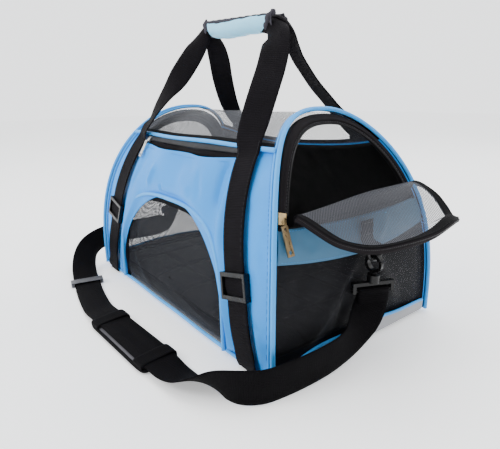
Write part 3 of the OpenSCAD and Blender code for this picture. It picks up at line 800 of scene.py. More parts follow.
def pocket():
    """Flat pocket over the front wall: soft vertical folds under its loose upper edge."""
    z = np.linspace(0.012, 0.2195, 44)
    x_leg = leg_x(z) - 0.0150
    up = np.column_stack([-x_leg, z])
    xs = np.linspace(-x_leg[-1], x_leg[-1], 84)
    across = np.column_stack([xs, pocket_top(xs)])
    outer = np.vstack([up, across[1:-1], (up * [-1, 1])[::-1]])
    inner = ray_match(window_outline(0.0060, 200, 0.012), outer, np.array([0.0, 0.011]))
    inner[0], inner[-1] = (-WINDOW_HALF - 0.0060, 0.012), (WINDOW_HALF + 0.0060, 0.012)
    xz = between(inner, outer, 40)
    x, zz = xz[..., 0], xz[..., 1]
    v = np.linspace(0, 1, 40)[None, :]
    sewn = step(v, 0, 0.25) * step(leg_x(zz) - 0.015 - np.abs(x), 0.0, 0.02)
    depth = 0.0014 + 0.0042 * sewn
    depth += 0.0022 * np.sin(x / 0.0165 + 1.1 + zz * 14) * sewn * step(zz, 0.13, 0.2)
    depth += 0.0016 * np.sin(x / 0.0235 + 3.0 - zz * 22) * sewn
    for crease in (
            ((0.106, 0.216), (0.110, 0.160), 0.007, -0.0060),
            ((0.122, 0.200), (0.130, 0.120), 0.009, 0.0045),
            ((0.012, 0.192), (0.052, 0.170), 0.010, 0.0030),
            ((-0.053, 0.196), (-0.066, 0.166), 0.0055, 0.0040),
            ((-0.030, 0.172), (-0.024, 0.160), 0.003, -0.002),
            ((-0.095, 0.205), (-0.115, 0.150), 0.008, -0.002),
            ((0.062, 0.200), (0.075, 0.168), 0.006, -0.002)):
        depth += fold(x, zz, *crease) * sewn
    depth += 0.0012 * step(zz, 0.20, 0.22) * np.clip(1 - (x / 0.11) ** 2, 0, 1)
    obj = shell_mesh("front_pocket_cloth", on_wall(xz, depth, -1), 0.0011, [sky, lining], uv=xz)
    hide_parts("front_pocket")
    xs = np.linspace(-0.112, 0.112, 90)
    hem = on_wall(np.column_stack([xs, pocket_top(xs) - 0.0038]), 0.0066, -1)
    dashes("pocket_hem_stitches", hem, wall_normal(hem[:, 2], -1), thread_blue)
    return obj


def window_bead():
    """Piping round the window, the dark tape inside it and the stitches beside it."""
    xz = window_outline(0.0022, 150, 0.005)
    path = on_wall(xz, 0.0040, -1)
    bead = tube("front_window_bead", path, 0.0027, [piping_cloth], side=wall_normal(path[:, 2], -1), n=16)
    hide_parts("front_window_piping")
    flange = np.stack([on_wall(window_outline(g, 130, 0.006), d, -1)
                       for g, d in ((-0.0078, -0.0003), (-0.0040, 0.0008), (0.0, 0.0012))], axis=1)
    shell_mesh("front_window_tape", flange, 0.0008, [binding])
    row = window_outline(0.0094, 130, 0.012)
    dashes("front_window_stitches", on_wall(row, 0.0034, -1), wall_normal(row[:, 1], -1), thread_blue)


for side in (-1, 1):
    wall(side)
window_panel()
window_bead()
pocket()


# ---- pocket zip ---------------------------------------------------------

ZIP_Z, ZIP_HALF, ZIP_SAG = 0.225, 0.1165, 0.0018


def pocket_zip():
    """Tape, coil and cover lip of the pocket's zip, which sags a little between its ends."""
    xs = np.linspace(-ZIP_HALF, ZIP_HALF, 80)
    z = ZIP_Z - ZIP_SAG * np.clip(1 - (xs / ZIP_HALF) ** 2, 0, 1)
    rows = []
    for g, d in ((-0.0095, 0.0012), (-0.0055, 0.0022), (-0.0014, 0.0030), (0.0006, 0.0030),
                 (0.0030, 0.0026), (0.0052, 0.0016)):
        rows.append(on_wall(np.column_stack([xs, z + g]), d, -1))
    p = np.stack(rows, axis=1)
    tape = shell_mesh("pocket_zip_tape_cloth", p, 0.0007, [zip_tape])
    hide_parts("pocket_zip_tape")
    z -= 0.0005
    line = on_wall(np.column_stack([xs, z]), 0.0032, -1)[3:-3]
    teeth("pocket_zip_coil", line, wall_normal(line[:, 2], -1), coil)
    lip = np.stack([on_wall(np.column_stack([xs, z + g]), d, -1) for g, d in
                    ((0.0062, 0.0020), (0.0040, 0.0038), (0.0014, 0.0046), (-0.0002, 0.0043))], axis=1)
    shell_mesh("pocket_zip_lip", lip, 0.0007, [black_cloth])


pocket_zip()


# ---- seams along the body -----------------------------------------------


def seam_bead(name, path, normals, node, r):
    """The bead of a piped seam, which stands for its CAD node."""
    bead = tube(name, path, r, [piping_cloth], side=normals, n=16)
    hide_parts(node)


for side in (-1, 1):
    name = "front" if side < 0 else "back"
    reach = float(end_x(SEAM_Z)) - 0.001
    x = np.linspace(-reach, reach, 90)
    z = seam_height(x, side)
    path = np.column_stack([x, side * half_w(z, 0.0028), z])
    seam_bead(name + "_top_bead", path, (0, side, 1), name + "_top_piping", 0.0029)
    edge = path.copy()
    edge[:, 2] += 0.0036
    edge[:, 1] = side * half_w(edge[:, 2], 0.0008)
    down = wall_normal(edge[:, 2], side)[:, [0, 2, 1]] * [1, -1, 1]
    strip(name + "_top_binding", edge, 0.0062, 0.0012, down, [binding])
    x = np.linspace(-0.222, 0.222, 90)
    low = np.column_stack([x, np.full_like(x, side * 0.1362), 0.0048 + 0.0004 * np.sin(x / 0.02)])
    tube(name + "_bottom_bead", low, 0.0023, [piping_cloth], side=(0, side, 0), n=16)


def end_line(s, d, foot, n=140, inset=0.0):
    """Line along the arch at an end, grown by d sideways and moved by inset along the body."""
    yz = arch(d, foot, n)
    return np.column_stack([s * (end_x(yz[:, 1]) + inset), yz])


def end_out(line, s):
    """Directions that point out of the arch at an end, square to the body's length."""
    n = unit(np.cross(directions(line), [s, 0, 0]))
    away = line * [0, 1, 1] - [0, 0, 0.1]
    return n * np.sign(np.sum(n * away, axis=1))[:, None]


for s, name in ENDS:
    line = end_line(s, 0.0026, 0.003, 150, 0.0026)
    seam_bead(name + "_end_bead", line, (s, 0, 0), name + "_end_piping", 0.0027)
    second = end_line(s, 0.0012, 0.004, 150, -0.0050)
    cord_edge = tube(name + "_end_welt", second, 0.0016, [piping_cloth], side=(s, 0, 0), n=12)
    between_line = end_line(s, 0.0004, 0.004, 150, -0.0018)
    strip(name + "_end_seam", between_line, 0.0066, 0.0012, (s, 0, 0), [binding])
    stitched = end_line(s, 0.0012, 0.01, 150, -0.0086)
    dashes(name + "_end_stitches", stitched, end_out(stitched, s), thread_blue)
    sleeve_line = end_line(s, -0.007, 0.008, 120, -0.007)
    tube(name + "_wire_sleeve", sleeve_line, 0.0030, [black_cloth], side=(s, 0, 0), n=12)


# ---- mesh top -----------------------------------------------------------


def top_net_panel():
    """Net from seam to seam over the wires, taut along the ridge with a few soft creases."""
    section = arch(-0.0012, 0.200, 400)
    run, ridge = lengths(section), 200
    across = np.linspace(-1, 1, 110)
    seam_x = across * SEAM_HALF
    front = np.interp(seam_height(seam_x, -1), section[:ridge, 1], run[:ridge])
    back = np.interp(seam_height(seam_x, 1), section[:ridge - 1:-1, 1], run[:ridge - 1:-1])
    v = np.linspace(0, 1, 60)[None, :]
    at = front[:, None] * (1 - v) + back[:, None] * v
    Y, Z = np.interp(at, run, section[:, 0]), np.interp(at, run, section[:, 1])
    X = across[:, None] * (end_x(Z) - 0.002)
    loose = np.sin(np.pi * v) * np.clip(1 - across[:, None] ** 4, 0, 1)
    sag = 0.0012 * loose * (1 - 0.3 * np.cos(across[:, None] * 9))
    sag += fold(X, Y, (0.005, -0.084), (0.085, -0.030), 0.004, 0.0026) * loose
    for crease in (
            ((0.085, -0.060), (0.140, -0.020), 0.004, 0.0018),
            ((-0.110, 0.010), (-0.050, 0.070), 0.005, 0.0020),
            ((-0.02, 0.01), (0.03, 0.08), 0.006, 0.0018)):
        sag += fold(X, Y, *crease)
    obj = sheet_mesh("top_net_cloth", np.stack([X, Y, Z - sag], axis=-1), [top_net])
    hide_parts("top_mesh_panel")


top_net_panel()

# ---- bottom and floor ---------------------------------------------------


def bottom():
    """Grey base cloth: flat under the board, turned up at both ends and sewn there with slack."""
    corner = 0.006
    t = np.linspace(0, np.pi / 2, 7)
    right_up = np.column_stack([0.2268 - corner + corner * np.sin(t), 0.0022 + corner - corner * np.cos(t)])
    rise = np.column_stack([np.full(9, 0.2268), np.linspace(0.0095, 0.0225, 9)])
    half = np.vstack([[[0, 0.0022]], [[0.1, 0.0022]], right_up, rise])
    line = np.vstack([(half * [-1, 1])[::-1], half[1:]])
    y = np.linspace(-0.1290, 0.1290, 90)
    p = np.zeros((len(line), 90, 3))
    p[..., 0], p[..., 1], p[..., 2] = line[:, :1], y[None, :], line[:, 1:]
    up = step(p[..., 2], 0.006, 0.018)
    wave = 0.0016 * np.sin(y / 0.0105 + 1.2 * np.sin(y / 0.03)) + 0.0012 * np.sin(y / 0.023 + 1)
    p[..., 0] += np.sign(p[..., 0]) * up * (0.0012 + wave[None, :] * 0.8)
    p[..., 2] += up * (0.0022 * np.sin(y / 0.036 + 2) - 0.0035 * np.abs(y / 0.129) ** 4)[None, :]
    obj = shell_mesh("bottom_cloth", p, 0.0011, [grey_cloth])
    fix_normals(obj)
    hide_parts("bottom_panel")
    for k, name in ((-1, "right"), (0, "left")):
        edge = p[k if k == -1 else 0] + [0, 0, 0.0008]
        bead = tube(name + "_bottom_edge", resample(edge, 100), 0.0019, [piping_cloth], side=(0, 0, 1), n=12)


bottom()
for node, mat in (("base_board", board_finish), ("right_frame_wire", steel), ("left_frame_wire", steel)):
    frame["nodes"][node].data.materials.clear()
    frame["nodes"][node].data.materials.append(mat)


def slab(top, low):
    """Vertices and faces of a closed pad between two grids of points."""
    nu, nv = top.shape[:2]
    count = nu * nv
    faces = quads(nu, nv, False, False)[0] + quads(nu, nv, False, False, count, True)[0]
    for row in ([(i, 0) for i in range(nu)], [(i, nv - 1) for i in range(nu)],
                [(0, j) for j in range(nv)], [(nu - 1, j) for j in range(nv)]):
        for a, b in zip(row, row[1:]):
            i, j = a[0] * nv + a[1], b[0] * nv + b[1]
            faces.append([i, j, j + count, i + count])
    return np.concatenate([top.reshape(-1, 3), low.reshape(-1, 3)]), faces


def plan(half_l, half_w, nx, ny):
    """Grid of plan points over a rectangle round the origin."""
    return np.meshgrid(np.linspace(-half_l, half_l, nx), np.linspace(-half_w, half_w, ny), indexing="ij")


def rounded_ring(half_l, half_w, power, z, n, steps):
    """Closed line of n points round a rectangle with rounded corners."""
    t = np.linspace(0, 2 * np.pi, steps, endpoint=False)
    c, k = np.cos(t), np.sin(t)
    ring = np.column_stack([half_l * np.sign(c) * np.abs(c) ** power,
                            half_w * np.sign(k) * np.abs(k) ** power, np.full(steps, z)])
    return resample(np.vstack([ring, ring[:1]]), n + 1)[:-1]


def floor_mat():
    """Quilted mat: a crowned pad whose stitched squares are pulled in after it has swelled."""
    X, Y = plan(0.2105, 0.1225, 72, 44)
    k = 1 - np.maximum(np.abs(X) / 0.211, np.abs(Y) / 0.123) ** 24
    top, low = (np.stack([X, Y, z], -1) for z in (0.0158 + 0.0058 * k, 0.0146 - 0.0066 * k))
    obj = make("floor_mat_pad", *slab(top, low), None, [mat_cloth])
    fix_normals(obj)
    obj = puffed(obj, 0.0055, 3.0, 0.0035)
    co = np.array([v.co for v in obj.data.vertices])
    seam = np.zeros(len(co))
    for x in np.linspace(-0.15, 0.15, 5):
        seam = np.maximum(seam, bump(co[:, 0], x, 0.005))
    for y in (-0.062, 0.0, 0.062):
        seam = np.maximum(seam, bump(co[:, 1], y, 0.005))
    top = co[:, 2] > 0.0145
    co[:, 2] -= np.where(top, 0.0032 * seam, 0)
    co[:, 2] = np.clip(co[:, 2], 0.0073, 0.0262)
    co[:, 0], co[:, 1] = np.clip(co[:, 0], -0.2140, 0.2140), np.clip(co[:, 1], -0.1262, 0.1262)
    obj.data.vertices.foreach_set("co", co.ravel())
    obj.data.update()
    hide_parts("floor_mat")
    ring = rounded_ring(0.2125, 0.1245, 0.12, 0.0225, 239, 220)
    bead = tube("floor_mat_bead", ring, 0.0018, [binding], side=(0, 0, 1), closed=True, n=10)


floor_mat()

# ---- ends ---------------------------------------------------------------


def on_end(y, z, out, s):
    """Points of an end's leaning surface, moved outwards."""
    return np.stack([s * (end_x(z) + out), y, z], axis=-1)


def end_panel(s, name):
    """Lower net of an end, drawn into folds towards the ring tab."""
    v = np.linspace(0, 1, 44)
    z = 0.0045 + v * 0.1335
    u = np.linspace(-1, 1, 90)
    Y = u[:, None] * (half_w(z, -0.0028))[None, :]
    Z = np.broadcast_to(z, Y.shape).copy()
    dome = np.clip(1 - (Y / 0.128) ** 2, 0, 1)
    out = -0.0012 + 0.0050 * dome * step(Z, 0.02, 0.10) + 0.0020 * dome * bump(Z, 0.05, 0.03)
    for crease in (
            ((-0.008, 0.118), (-0.085, 0.030), 0.009, 0.0038),
            ((0.010, 0.116), (0.075, 0.025), 0.010, 0.0028),
            ((-0.020, 0.100), (-0.048, 0.020), 0.006, -0.0024),
            ((-0.09, 0.120), (-0.112, 0.060), 0.008, -0.0018)):
        out += fold(Y, Z, *crease)
    out += 0.0018 * np.sin(Y / 0.018 + 1) * step(Z, 0.07, 0.01) * dome
    edge = np.clip(1 - np.abs(u[:, None]), 0, 0.12) / 0.12
    out = -0.0012 + (out + 0.0012) * edge * step(Z, 0.006, 0.024)
    obj = sheet_mesh(name + "_end_net", on_end(Y, Z, out, s), [end_net], flip=s < 0)
    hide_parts(name + "_end_mesh")
    return obj


def band_edges(y):
    """Lower and upper edge of the band: it sags to the ring tab in its middle."""
    k = np.clip(1 - (y / 0.122) ** 2, 0, 1)
    return 0.1285 - 0.0115 * k, 0.1600 - 0.0030 * k


def end_band(s, name):
    """Blue band across an end, in a darker copy of the sky cloth that paints the end's shade, with its stitches and
    its dark inside.
    """
    y = np.linspace(-1, 1, 80)
    v = np.linspace(0, 1, 16)
    Y = y[:, None] * 0.1205 * np.ones_like(v)[None, :]
    low, high = band_edges(Y)
    Z = low + (high - low) * v[None, :]
    Y = y[:, None] * (half_w(Z, -0.0025))
    dome = np.clip(1 - (Y / 0.12) ** 2, 0, 1)
    out = 0.0012 + (0.0060 if s > 0 else 0.0012) * dome ** 1.5 + 0.0016 * np.sin(np.pi * v)[None, :]
    for crease in (
            ((-0.050, 0.150), (-0.020, 0.124), 0.005, 0.0018),
            ((0.048, 0.150), (0.022, 0.124), 0.005, 0.0016),
            ((-0.095, 0.152), (-0.075, 0.134), 0.006, -0.0014)):
        out += fold(Y, Z, *crease)
    out += 0.0016 * bump(Y, 0.0, 0.012) * (1 - v)[None, :]
    obj = shell_mesh(name + "_shaded_band_cloth", on_end(Y, Z, out, s), 0.0016, [shaded_band_cloth, lining], flip=s < 0)
    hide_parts(name + "_end_band")
    for k, where in ((0, "lower"), (-1, "upper")):
        line = on_end(Y[:, k], Z[:, k] + (0.0022 if k == 0 else -0.0022), out[:, k] + 0.0002, s)[2:-2]
        dashes(f"{name}_band_{where}_stitches", line, (s, 0, 0.1), thread_blue)
    lining_strip = on_end(Y, Z, -0.0026, s)
    sheet_mesh(name + "_band_lining", lining_strip, [lining], flip=s < 0)


def door_arch(g, foot, n=130):
    """The door opening's outline shrunk by g, from its -Y foot over the top to its +Y foot."""
    return arch(-SURROUND_IN - g, foot, n)


def surround(s, name):
    """Zip tape that frames the door, with its welt and half of the coil."""
    rows = []
    for inset, out in ((0.0030, 0.0004), (0.0046, 0.0016), (0.0068, 0.0016), (0.0080, 0.0028),
                       (0.0096, 0.0030), (0.0106, 0.0016), (0.0131, 0.0014)):
        yz = arch(-inset, HINGE_Z - 0.001, 130)
        rows.append(on_end(yz[:, 0], yz[:, 1], out, s))
    p = np.stack(rows, axis=1)
    obj = shell_mesh(name + "_door_tape", p, 0.0014, [zip_tape], flip=s > 0)
    fix_normals(obj)
    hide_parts(name + "_door_surround")
    yz = arch(-0.0137, HINGE_Z + 0.012, 130)
    teeth(name + "_surround_coil", on_end(yz[:, 0], yz[:, 1], 0.0012, s), (s, 0, 0.3), coil, wide=0.0026)
    yz = arch(-0.0116, HINGE_Z + 0.004, 130)
    dashes(name + "_surround_stitches", on_end(yz[:, 0], yz[:, 1], 0.0018, s), (s, 0, 0.3), thread_grey,
           r=0.00024)


for s, name in ENDS:
    end_panel(s, name)
    end_band(s, name)
    surround(s, name)


# ---- doors --------------------------------------------------------------


def swing_open(p):
    """Turn points of the shut right door to where it hangs open."""
    x, z = p[..., 0] - HINGE_X, p[..., 2] - HINGE_Z
    c, n = math.cos(DOOR_OPEN), math.sin(DOOR_OPEN)
    return np.stack([HINGE_X + x * c + z * n, p[..., 1], HINGE_Z - x * n + z * c], axis=-1)


def droop(p):
    """Height that the open flap's fabric stands off its plane: a hump over the hinge, a low near side."""
    r, y = p[..., 0] - HINGE_X, p[..., 1]
    far = step(y, -0.105, 0.03)
    fade = np.clip((r - 0.008 - 0.006 * far) / (0.042 + 0.008 * far), 0, 1)
    hump = (0.0140 + 0.0088 * far) * step(r, -0.0005, 0.0075) * (1 - fade * fade * (3 - 2 * fade))
    near = -0.0058 * (1 - far) * bump(r, 0.078, 0.026)
    back = 0.0160 * step(y, 0.0, 0.095) * bump(r, 0.056, 0.027)
    tip = 0.0150 * step(r, 0.070, 0.098) * bump(y, 0.020, 0.034)
    ripple = 0.0010 * np.sin(y / 0.017 + r * 40) * step(r, 0.02, 0.05)
    rim = np.hypot(r / 0.109, y / 0.104)
    lip = -0.0065 * step(rim, 0.88, 1.04) * step(y, -0.03, 0.02) * step(r, 0.04, 0.08)
    return hump + near + back + tip + lip + ripple


def hang(p):
    """Where points of the shut right door lie in the open, drooping flap."""
    q = swing_open(p)
    q[..., 2] += droop(q)
    return q


def door(s, name):
    """A door's net, bound rim, half of the zip and hem; the right one hangs open."""
    body = name + "_door"
    place = hang if s > 0 else (lambda p: p)
    foot = HINGE_Z + 0.0004

    def at(yz, out):
        y, z = yz[..., 0], yz[..., 1]
        corner = 0.0075 * np.clip(1 - (z - foot) / 0.0085, 0, 1) * np.clip(np.abs(y) / 0.104, 0, 1) ** 8
        return place(on_end(y - np.sign(y) * corner, z, out, s))

    def finish(obj):
        if s > 0:
            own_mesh(obj)
        return obj

    outline = door_arch(DOOR_GAP + BINDING_W - 0.0022, foot, 130)
    base = np.column_stack([np.linspace(outline[-1, 0], outline[0, 0], 60)[1:-1], np.full(58, foot)])
    ring = np.vstack([outline, base])
    centre = np.array([[0.0, 0.196]])
    yz = between(centre + (ring - centre) * 0.015, ring, 44)
    slack = 0.0022 * np.sin(np.pi * np.linspace(0, 1, 44))[None, :] if s < 0 else 0.0
    net = sheet_mesh(name + "_door_net", at(yz, -0.0004 + slack), [door_net], uv=yz, close_u=True,
                     flip=s > 0, body=body)
    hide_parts(name + "_door_mesh")
    finish(net)
    rows = [at(door_arch(DOOR_GAP + g, foot, 130), out) for g, out in
            ((0.0, 0.0), (0.0010, 0.0015), (0.0052, 0.0013), (0.0066, 0.0019), (0.0080, 0.0010))]
    rim = shell_mesh(name + "_door_rim", np.stack(rows, axis=1), 0.0022, [binding], flip=s > 0, body=body)
    fix_normals(rim)
    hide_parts(name + "_door_binding")
    finish(rim)
    if s > 0:
        rows = [at(door_arch(DOOR_GAP + g, foot + 0.009, 130), out) for g, out in
                ((0.0006, 0.0002), (-0.0006, 0.0012), (-0.0010, 0.0032), (-0.0006, 0.0058))]
        tape = shell_mesh("right_door_zip_edge", np.stack(rows, axis=1), 0.0009, [zip_tape], body=body)
        fix_normals(tape)
        finish(tape)
    seam_line = door_arch(DOOR_GAP + 0.0046, foot + 0.004, 130)
    finish(dashes(name + "_door_stitches", at(seam_line, 0.0017), (0, 0, 1) if s > 0 else (s, 0, 0.3),
                  thread_grey, body=body, r=0.00024))
    zip_line = door_arch(DOOR_GAP - 0.0004, foot + 0.012, 130)
    finish(teeth(name + "_door_coil", at(zip_line, 0.0008), (0, 0, -1) if s > 0 else (s, 0, 0.3), coil,
                 body=body, wide=0.0024))
    y = np.linspace(-0.1025, 0.1025, 80)
    z = np.full_like(y, foot)
    hem_rows = [at(np.column_stack([y, z + g]), out)
                for g, out in ((-0.0002, 0.0006), (0.003, 0.0012), (0.0068, 0.0010))]
    hem = shell_mesh(name + "_door_hem", np.stack(hem_rows, axis=1), 0.0014, [binding], body=body)
    fix_normals(hem)
    finish(hem)


for s, name in ENDS:
    door(s, name)


# ---- webbing legs and handles -------------------------------------------


# Halves of the front (-1) and back (1) loop, to the right (1) and left (-1) of the grip: each row is
# x, height up the loop's plane and lift off it in mm, turn about the webbing's length in degrees, and curl.
LOOPS = {
    (-1, 1): ((133, 6, 0, -12, 0), (130, 22, 1, -24, 0.05), (126, 46, 2, -32, 0.1), (121, 72, 2, -34, 0.15),
              (115, 96, 1, -34, 0.2), (108, 118, 1, -32, 0.3), (101, 131, 1, -22, 0.5), (94, 142, 0, -12, 1.0),
              (84, 151, -1, -4, 2.0), (70, 161, 0.6, 0, 3.3), (42, 166.7, 3.2, 0, 3.5), (0, 168.7, 4.4, 0, 3.5)),
    (-1, -1): ((-130, 6, 0, 8, 0), (-123, 20, 0, 14, 0.05), (-117, 43, 1, 4, 0.1), (-108, 68, 1, -10, 0.15),
               (-95, 93, 1, -34, 0.2), (-87, 118, 1, -36, 0.3), (-84, 138, 1, -30, 0.6), (-82, 153, 2, -16, 1.2),
               (-78, 165, 4, -4, 2.0), (-68, 171, 6.0, 0, 3.4), (-42, 170.7, 5.6, 0, 3.5), (0, 168.7, 4.4, 0, 3.5)),
    (1, 1): ((131, 6, 0, 0, 0), (121, 18, 0, 6, 0.1), (109, 36, 0, 12, 0.15), (99, 54, 1, 15, 0.2),
             (88, 75, 1, 15, 0.25), (80, 95, 2, 15, 0.3), (75, 116, 2, 14, 0.4), (78, 136, 2, 16, 0.8),
             (81, 152, 1, 10, 1.8), (72, 164.2, 1.4, 2, 3.4), (42, 166.7, 2.3, 0, 3.8), (0, 168.7, 3.5, 0, 3.7)),
    (1, -1): ((-133, 6, 0, -6, 0), (-135, 24, 1, -18, 0.05), (-134, 46, 2, -26, 0.1), (-127, 68, 2, -30, 0.15),
              (-115, 96, 2, -34, 0.2), (-102, 120, 2, -32, 0.3), (-93, 138, 2, -26, 0.6), (-85, 152, 3, -16, 1.2),
              (-78, 164, 4, -4, 2.4), (-68, 171, 5.2, 0, 3.5), (-42, 170.7, 4.7, 0, 3.8), (0, 168.7, 3.5, 0, 3.7))}


def handle_band(side, name):
    """One webbing from buckle to buckle: sewn up the wall, free as a loop above it."""
    up = np.array([0, -side * math.sin(HANDLE_TILT), math.cos(HANDLE_TILT)])
    out = np.array([0, side * math.cos(HANDLE_TILT), math.sin(HANDLE_TILT)])

    def leg(s):
        """Rows of points, normals and curl up a sewn leg."""
        z = np.linspace(BUCKLE_Z[s] - 0.012, LEG_TOP, 26)
        bow = LEG_DEPTH + 0.0012 * bump(z, BUCKLE_Z[s], 0.006) + 0.0008 * np.sin((z - 0.1) / 0.03)
        pts = on_wall(np.column_stack([s * leg_x(z), z]), bow, side)
        return np.hstack([pts, wall_normal(z, side), np.zeros((26, 1))])

    def loop(s):
        """Half of the loop: each row of LOOPS is (x, height up the loop's plane, lift, turn, curl)."""
        table = np.array(LOOPS[side, s]) * [1e-3, 1e-3, 1e-3, math.pi / 180, 1]
        base = np.array([0, side * HANDLE_Y, HANDLE_Z])
        pts = base + table[:, :1] * [1, 0, 0] + table[:, 1:2] * up + table[:, 2:3] * out
        rising = directions(pts)
        beside = unit(np.cross(rising, out))
        normal = out * np.cos(table[:, 3:4]) - beside * np.sin(table[:, 3:4])
        return np.hstack([pts, normal, table[:, 4:]])

    rows = np.vstack([leg(1), loop(1), loop(-1)[::-1][1:], leg(-1)[::-1]])
    line = smooth_line(rows, 330)
    path, normal, curl = line[:, :3], unit(line[:, 3:6]), line[:, 6]
    side_v = np.cross(directions(path), normal)
    sections = np.stack([band_section(WEB_W, WEB_T, 13, -c) for c in curl])
    obj = sweep_mesh(name + "_webbing", path, sections, side_v, [webbing])
    obj.parent = None
    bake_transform(obj)
    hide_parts(name + "_handle_webbing", name + "_leg_webbing")
    across = unit(np.cross(unit(np.cross(side_v, directions(path))), directions(path)))
    for part, keep in (("right", slice(18, 70)), ("left", slice(330 - 66, 330 - 14))):
        for e in (-1, 1):
            row = path[keep] + across[keep] * e * (WEB_W / 2 - 0.0024) + normal[keep] * 0.0011
            edge = "in" if e < 0 else "out"
            dashes(f"{name}_{part}_leg_stitches_{edge}", row, normal[keep], thread_black)


for side, name in ((-1, "front"), (1, "back")):
    handle_band(side, name)


def girth(s, name):
    """Strap from one buckle down the wall, under the bottom and up to the other buckle."""
    z = np.linspace(BUCKLE_Z[s] + 0.010, 0.014, 22)
    depth = LEG_DEPTH - 0.0010 * bump(z, BUCKLE_Z[s], 0.008)
    depth += 0.0010 * np.sin((z - 0.02) / 0.016) * step(z, 0.02, 0.04)
    front = on_wall(np.column_stack([s * leg_x(z), z]), depth, -1)
    normal = wall_normal(z, -1)
    t = np.linspace(0.2, 1, 5)[:, None] * np.pi / 2
    r = 0.008
    centre = np.array([s * leg_x(0.0), -BODY_W / 2 - LEG_DEPTH + r, 0.0013 + r])
    turn_n = np.hstack([0 * t, -np.cos(t), -np.sin(t)])
    half = np.hstack([np.vstack([front, centre + r * turn_n]), np.vstack([normal, turn_n])])
    half = np.vstack([half, [[s * leg_x(0.0), -0.06, 0.0013, 0, 0, -1]]])
    back_half = (half * [1, -1, 1, 1, -1, 1])[::-1]
    line = smooth_line(np.vstack([half, [[s * leg_x(0.0), 0, 0.0013, 0, 0, -1]], back_half]), 170)
    path, normal = line[:, :3], unit(line[:, 3:])
    obj = sweep_mesh(name + "_girth_webbing", path, band_section(WEB_W, WEB_T * 0.95, 13),
                     np.cross(directions(path), normal), [webbing])
    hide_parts(name + "_girth_strap")


for s, name in ENDS:
    girth(s, name)


# ---- grip ---------------------------------------------------------------


def round_grip(x, r, a):
    """Points at x along the grip's tilted axis and r from it; a runs from the front over the top."""
    y, z = -r * np.cos(a), GRIP_Z - GRIP_TILT * x + 0.92 * r * np.sin(a)
    return np.stack(np.broadcast_arrays(x, y, z), axis=-1)


def grip():
    """Padded wrap, open at the top; its fleece lining rolls out at both ends and along its edges."""
    a = np.radians(np.linspace(152, 382, 34))[:, None]
    x = np.linspace(-1, 1, 56)[None, :]
    X = x * (GRIP_LEN / 2 - 0.004) + 0.006 * np.cos(a) * (0.4 + 0.5 * (x > 0)) + 0.001
    swell = (1 - x ** 8) * (0.85 + 0.15 * np.sin(3 * x + a * 2))
    swell *= 1 - ((a - np.radians(267)) / np.radians(118)) ** 8
    outer = 0.0144 + 0.0024 * swell + 0.0004 * np.sin(x * 14 + a * 3)
    wavy = 0.0012 * np.sin(3 * x)[..., None] * [0, 0, 1]
    obj = make("grip_pad", *slab(round_grip(X, outer, a) + wavy, round_grip(X, 0.0122, a) + wavy), None,
               [grip_cloth], body="front_handle")
    fix_normals(obj)
    obj = puffed(obj, 0.0016, 3.0, 0.0012)
    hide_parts("grip_wrap")
    a = np.radians(np.linspace(140, 392, 40))[:, None]
    x = np.linspace(-1, 1, 60)[None, :]
    roll = step(np.abs(x), 0.93, 1.0)
    edges = step(a, np.radians(378), np.radians(392)) + step(-a, -np.radians(154), -np.radians(140))
    flare = 0.0036 * np.maximum(roll * (1 + 0.15 * np.sin(a * 5)), edges * (1 - roll))
    r = 0.0114 + flare + 0.0004 * np.sin(x * 30 + a * 6)
    X = x * (GRIP_LEN / 2 + 0.0015) + (x > 0) * (0.0035 * np.abs(x) ** 3 + 0.004 * np.cos(a)) + 0.001
    cloth = shell_mesh("grip_lining_cloth", round_grip(X, r, a), 0.0010, [fleece], body="front_handle")
    fix_normals(cloth)
    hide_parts("grip_lining")
    a = np.radians(np.linspace(158, 418, 70))
    for side, thick, slant in ((1, 0.0036, 0.0080), (-1, 0.0016, 0.0015)):
        x = side * (GRIP_LEN / 2 + 0.0015 + slant * np.sin(a))
        path = round_grip(x, 0.0132 + 0.0006 * np.sin(a * 7), a)
        taper = np.clip(np.minimum(a - a[0], a[-1] - a) / 0.25 + 0.35, 0, 1)
        rings = np.stack([ring_section(f, 16) for f in thick * (1 + 0.12 * np.sin(a * 9)) * taper])
        cuff = sweep_mesh("grip_lining_roll", path, rings, (1, 0, 0), [fleece], "front_handle")


grip()

# ---- hard fittings ------------------------------------------------------

for fitting in ("front_right", "front_left", "back_right", "back_left"):
    refined(fitting + "_buckle", plastic, 0.0009, segments=3)
for s, name in ENDS:
    for node, radius in (("_snap_hook", 0.0009), ("_hook_gate", 0.0005), ("_swivel_base", 0.0009),
                         ("_d_ring", 0.0002)):
        refined(name + node, plastic, radius)
    refined(name + "_door_slider", brass, 0.0008, segments=3)
    refined(name + "_door_puller", bronze, 0.0005)
refined("pocket_zip_slider", silver, 0.0008, segments=3)
refined("pocket_zip_puller", silver, 0.0004)


def ring_tab(s, name):
    """Doubled webbing tab, sewn to the band and folded round the D-ring's straight bar."""
    r = 0.0036
    t = np.linspace(-0.5, 1.25, 14) * np.pi / 2
    hook = np.column_stack([RING_X + r * np.sin(t + np.pi / 4), RING_Z + r * np.cos(t + np.pi / 4)])
    upper = np.array([[0.2262, 0.1535], [0.2268, 0.1440], [0.2272, 0.1345], [0.2300, 0.1292]])
    lower = np.array([[0.2330, 0.1200], [0.2285, 0.1215], [0.2250, 0.1240]])
    line = smooth_line(np.vstack([upper, hook, lower]), 80)
    path = np.column_stack([s * line[:, 0], np.zeros(80), line[:, 1]])
    obj = sweep_mesh(name + "_tab_webbing", path, band_section(0.020, 0.0016, 11), (0, 1, 0), [strap_webbing])
    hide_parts(name + "_ring_tab")
    for z in (0.1510, 0.1375):
        bar = np.column_stack([np.full(12, s * 0.2282), np.linspace(-0.008, 0.008, 12), np.full(12, z)])
        dashes(f"{name}_tab_stitches_{int(z * 1e4)}", bar, (s, 0, 0), thread_grey, r=0.0003)


for s, name in ENDS:
    ring_tab(s, name)

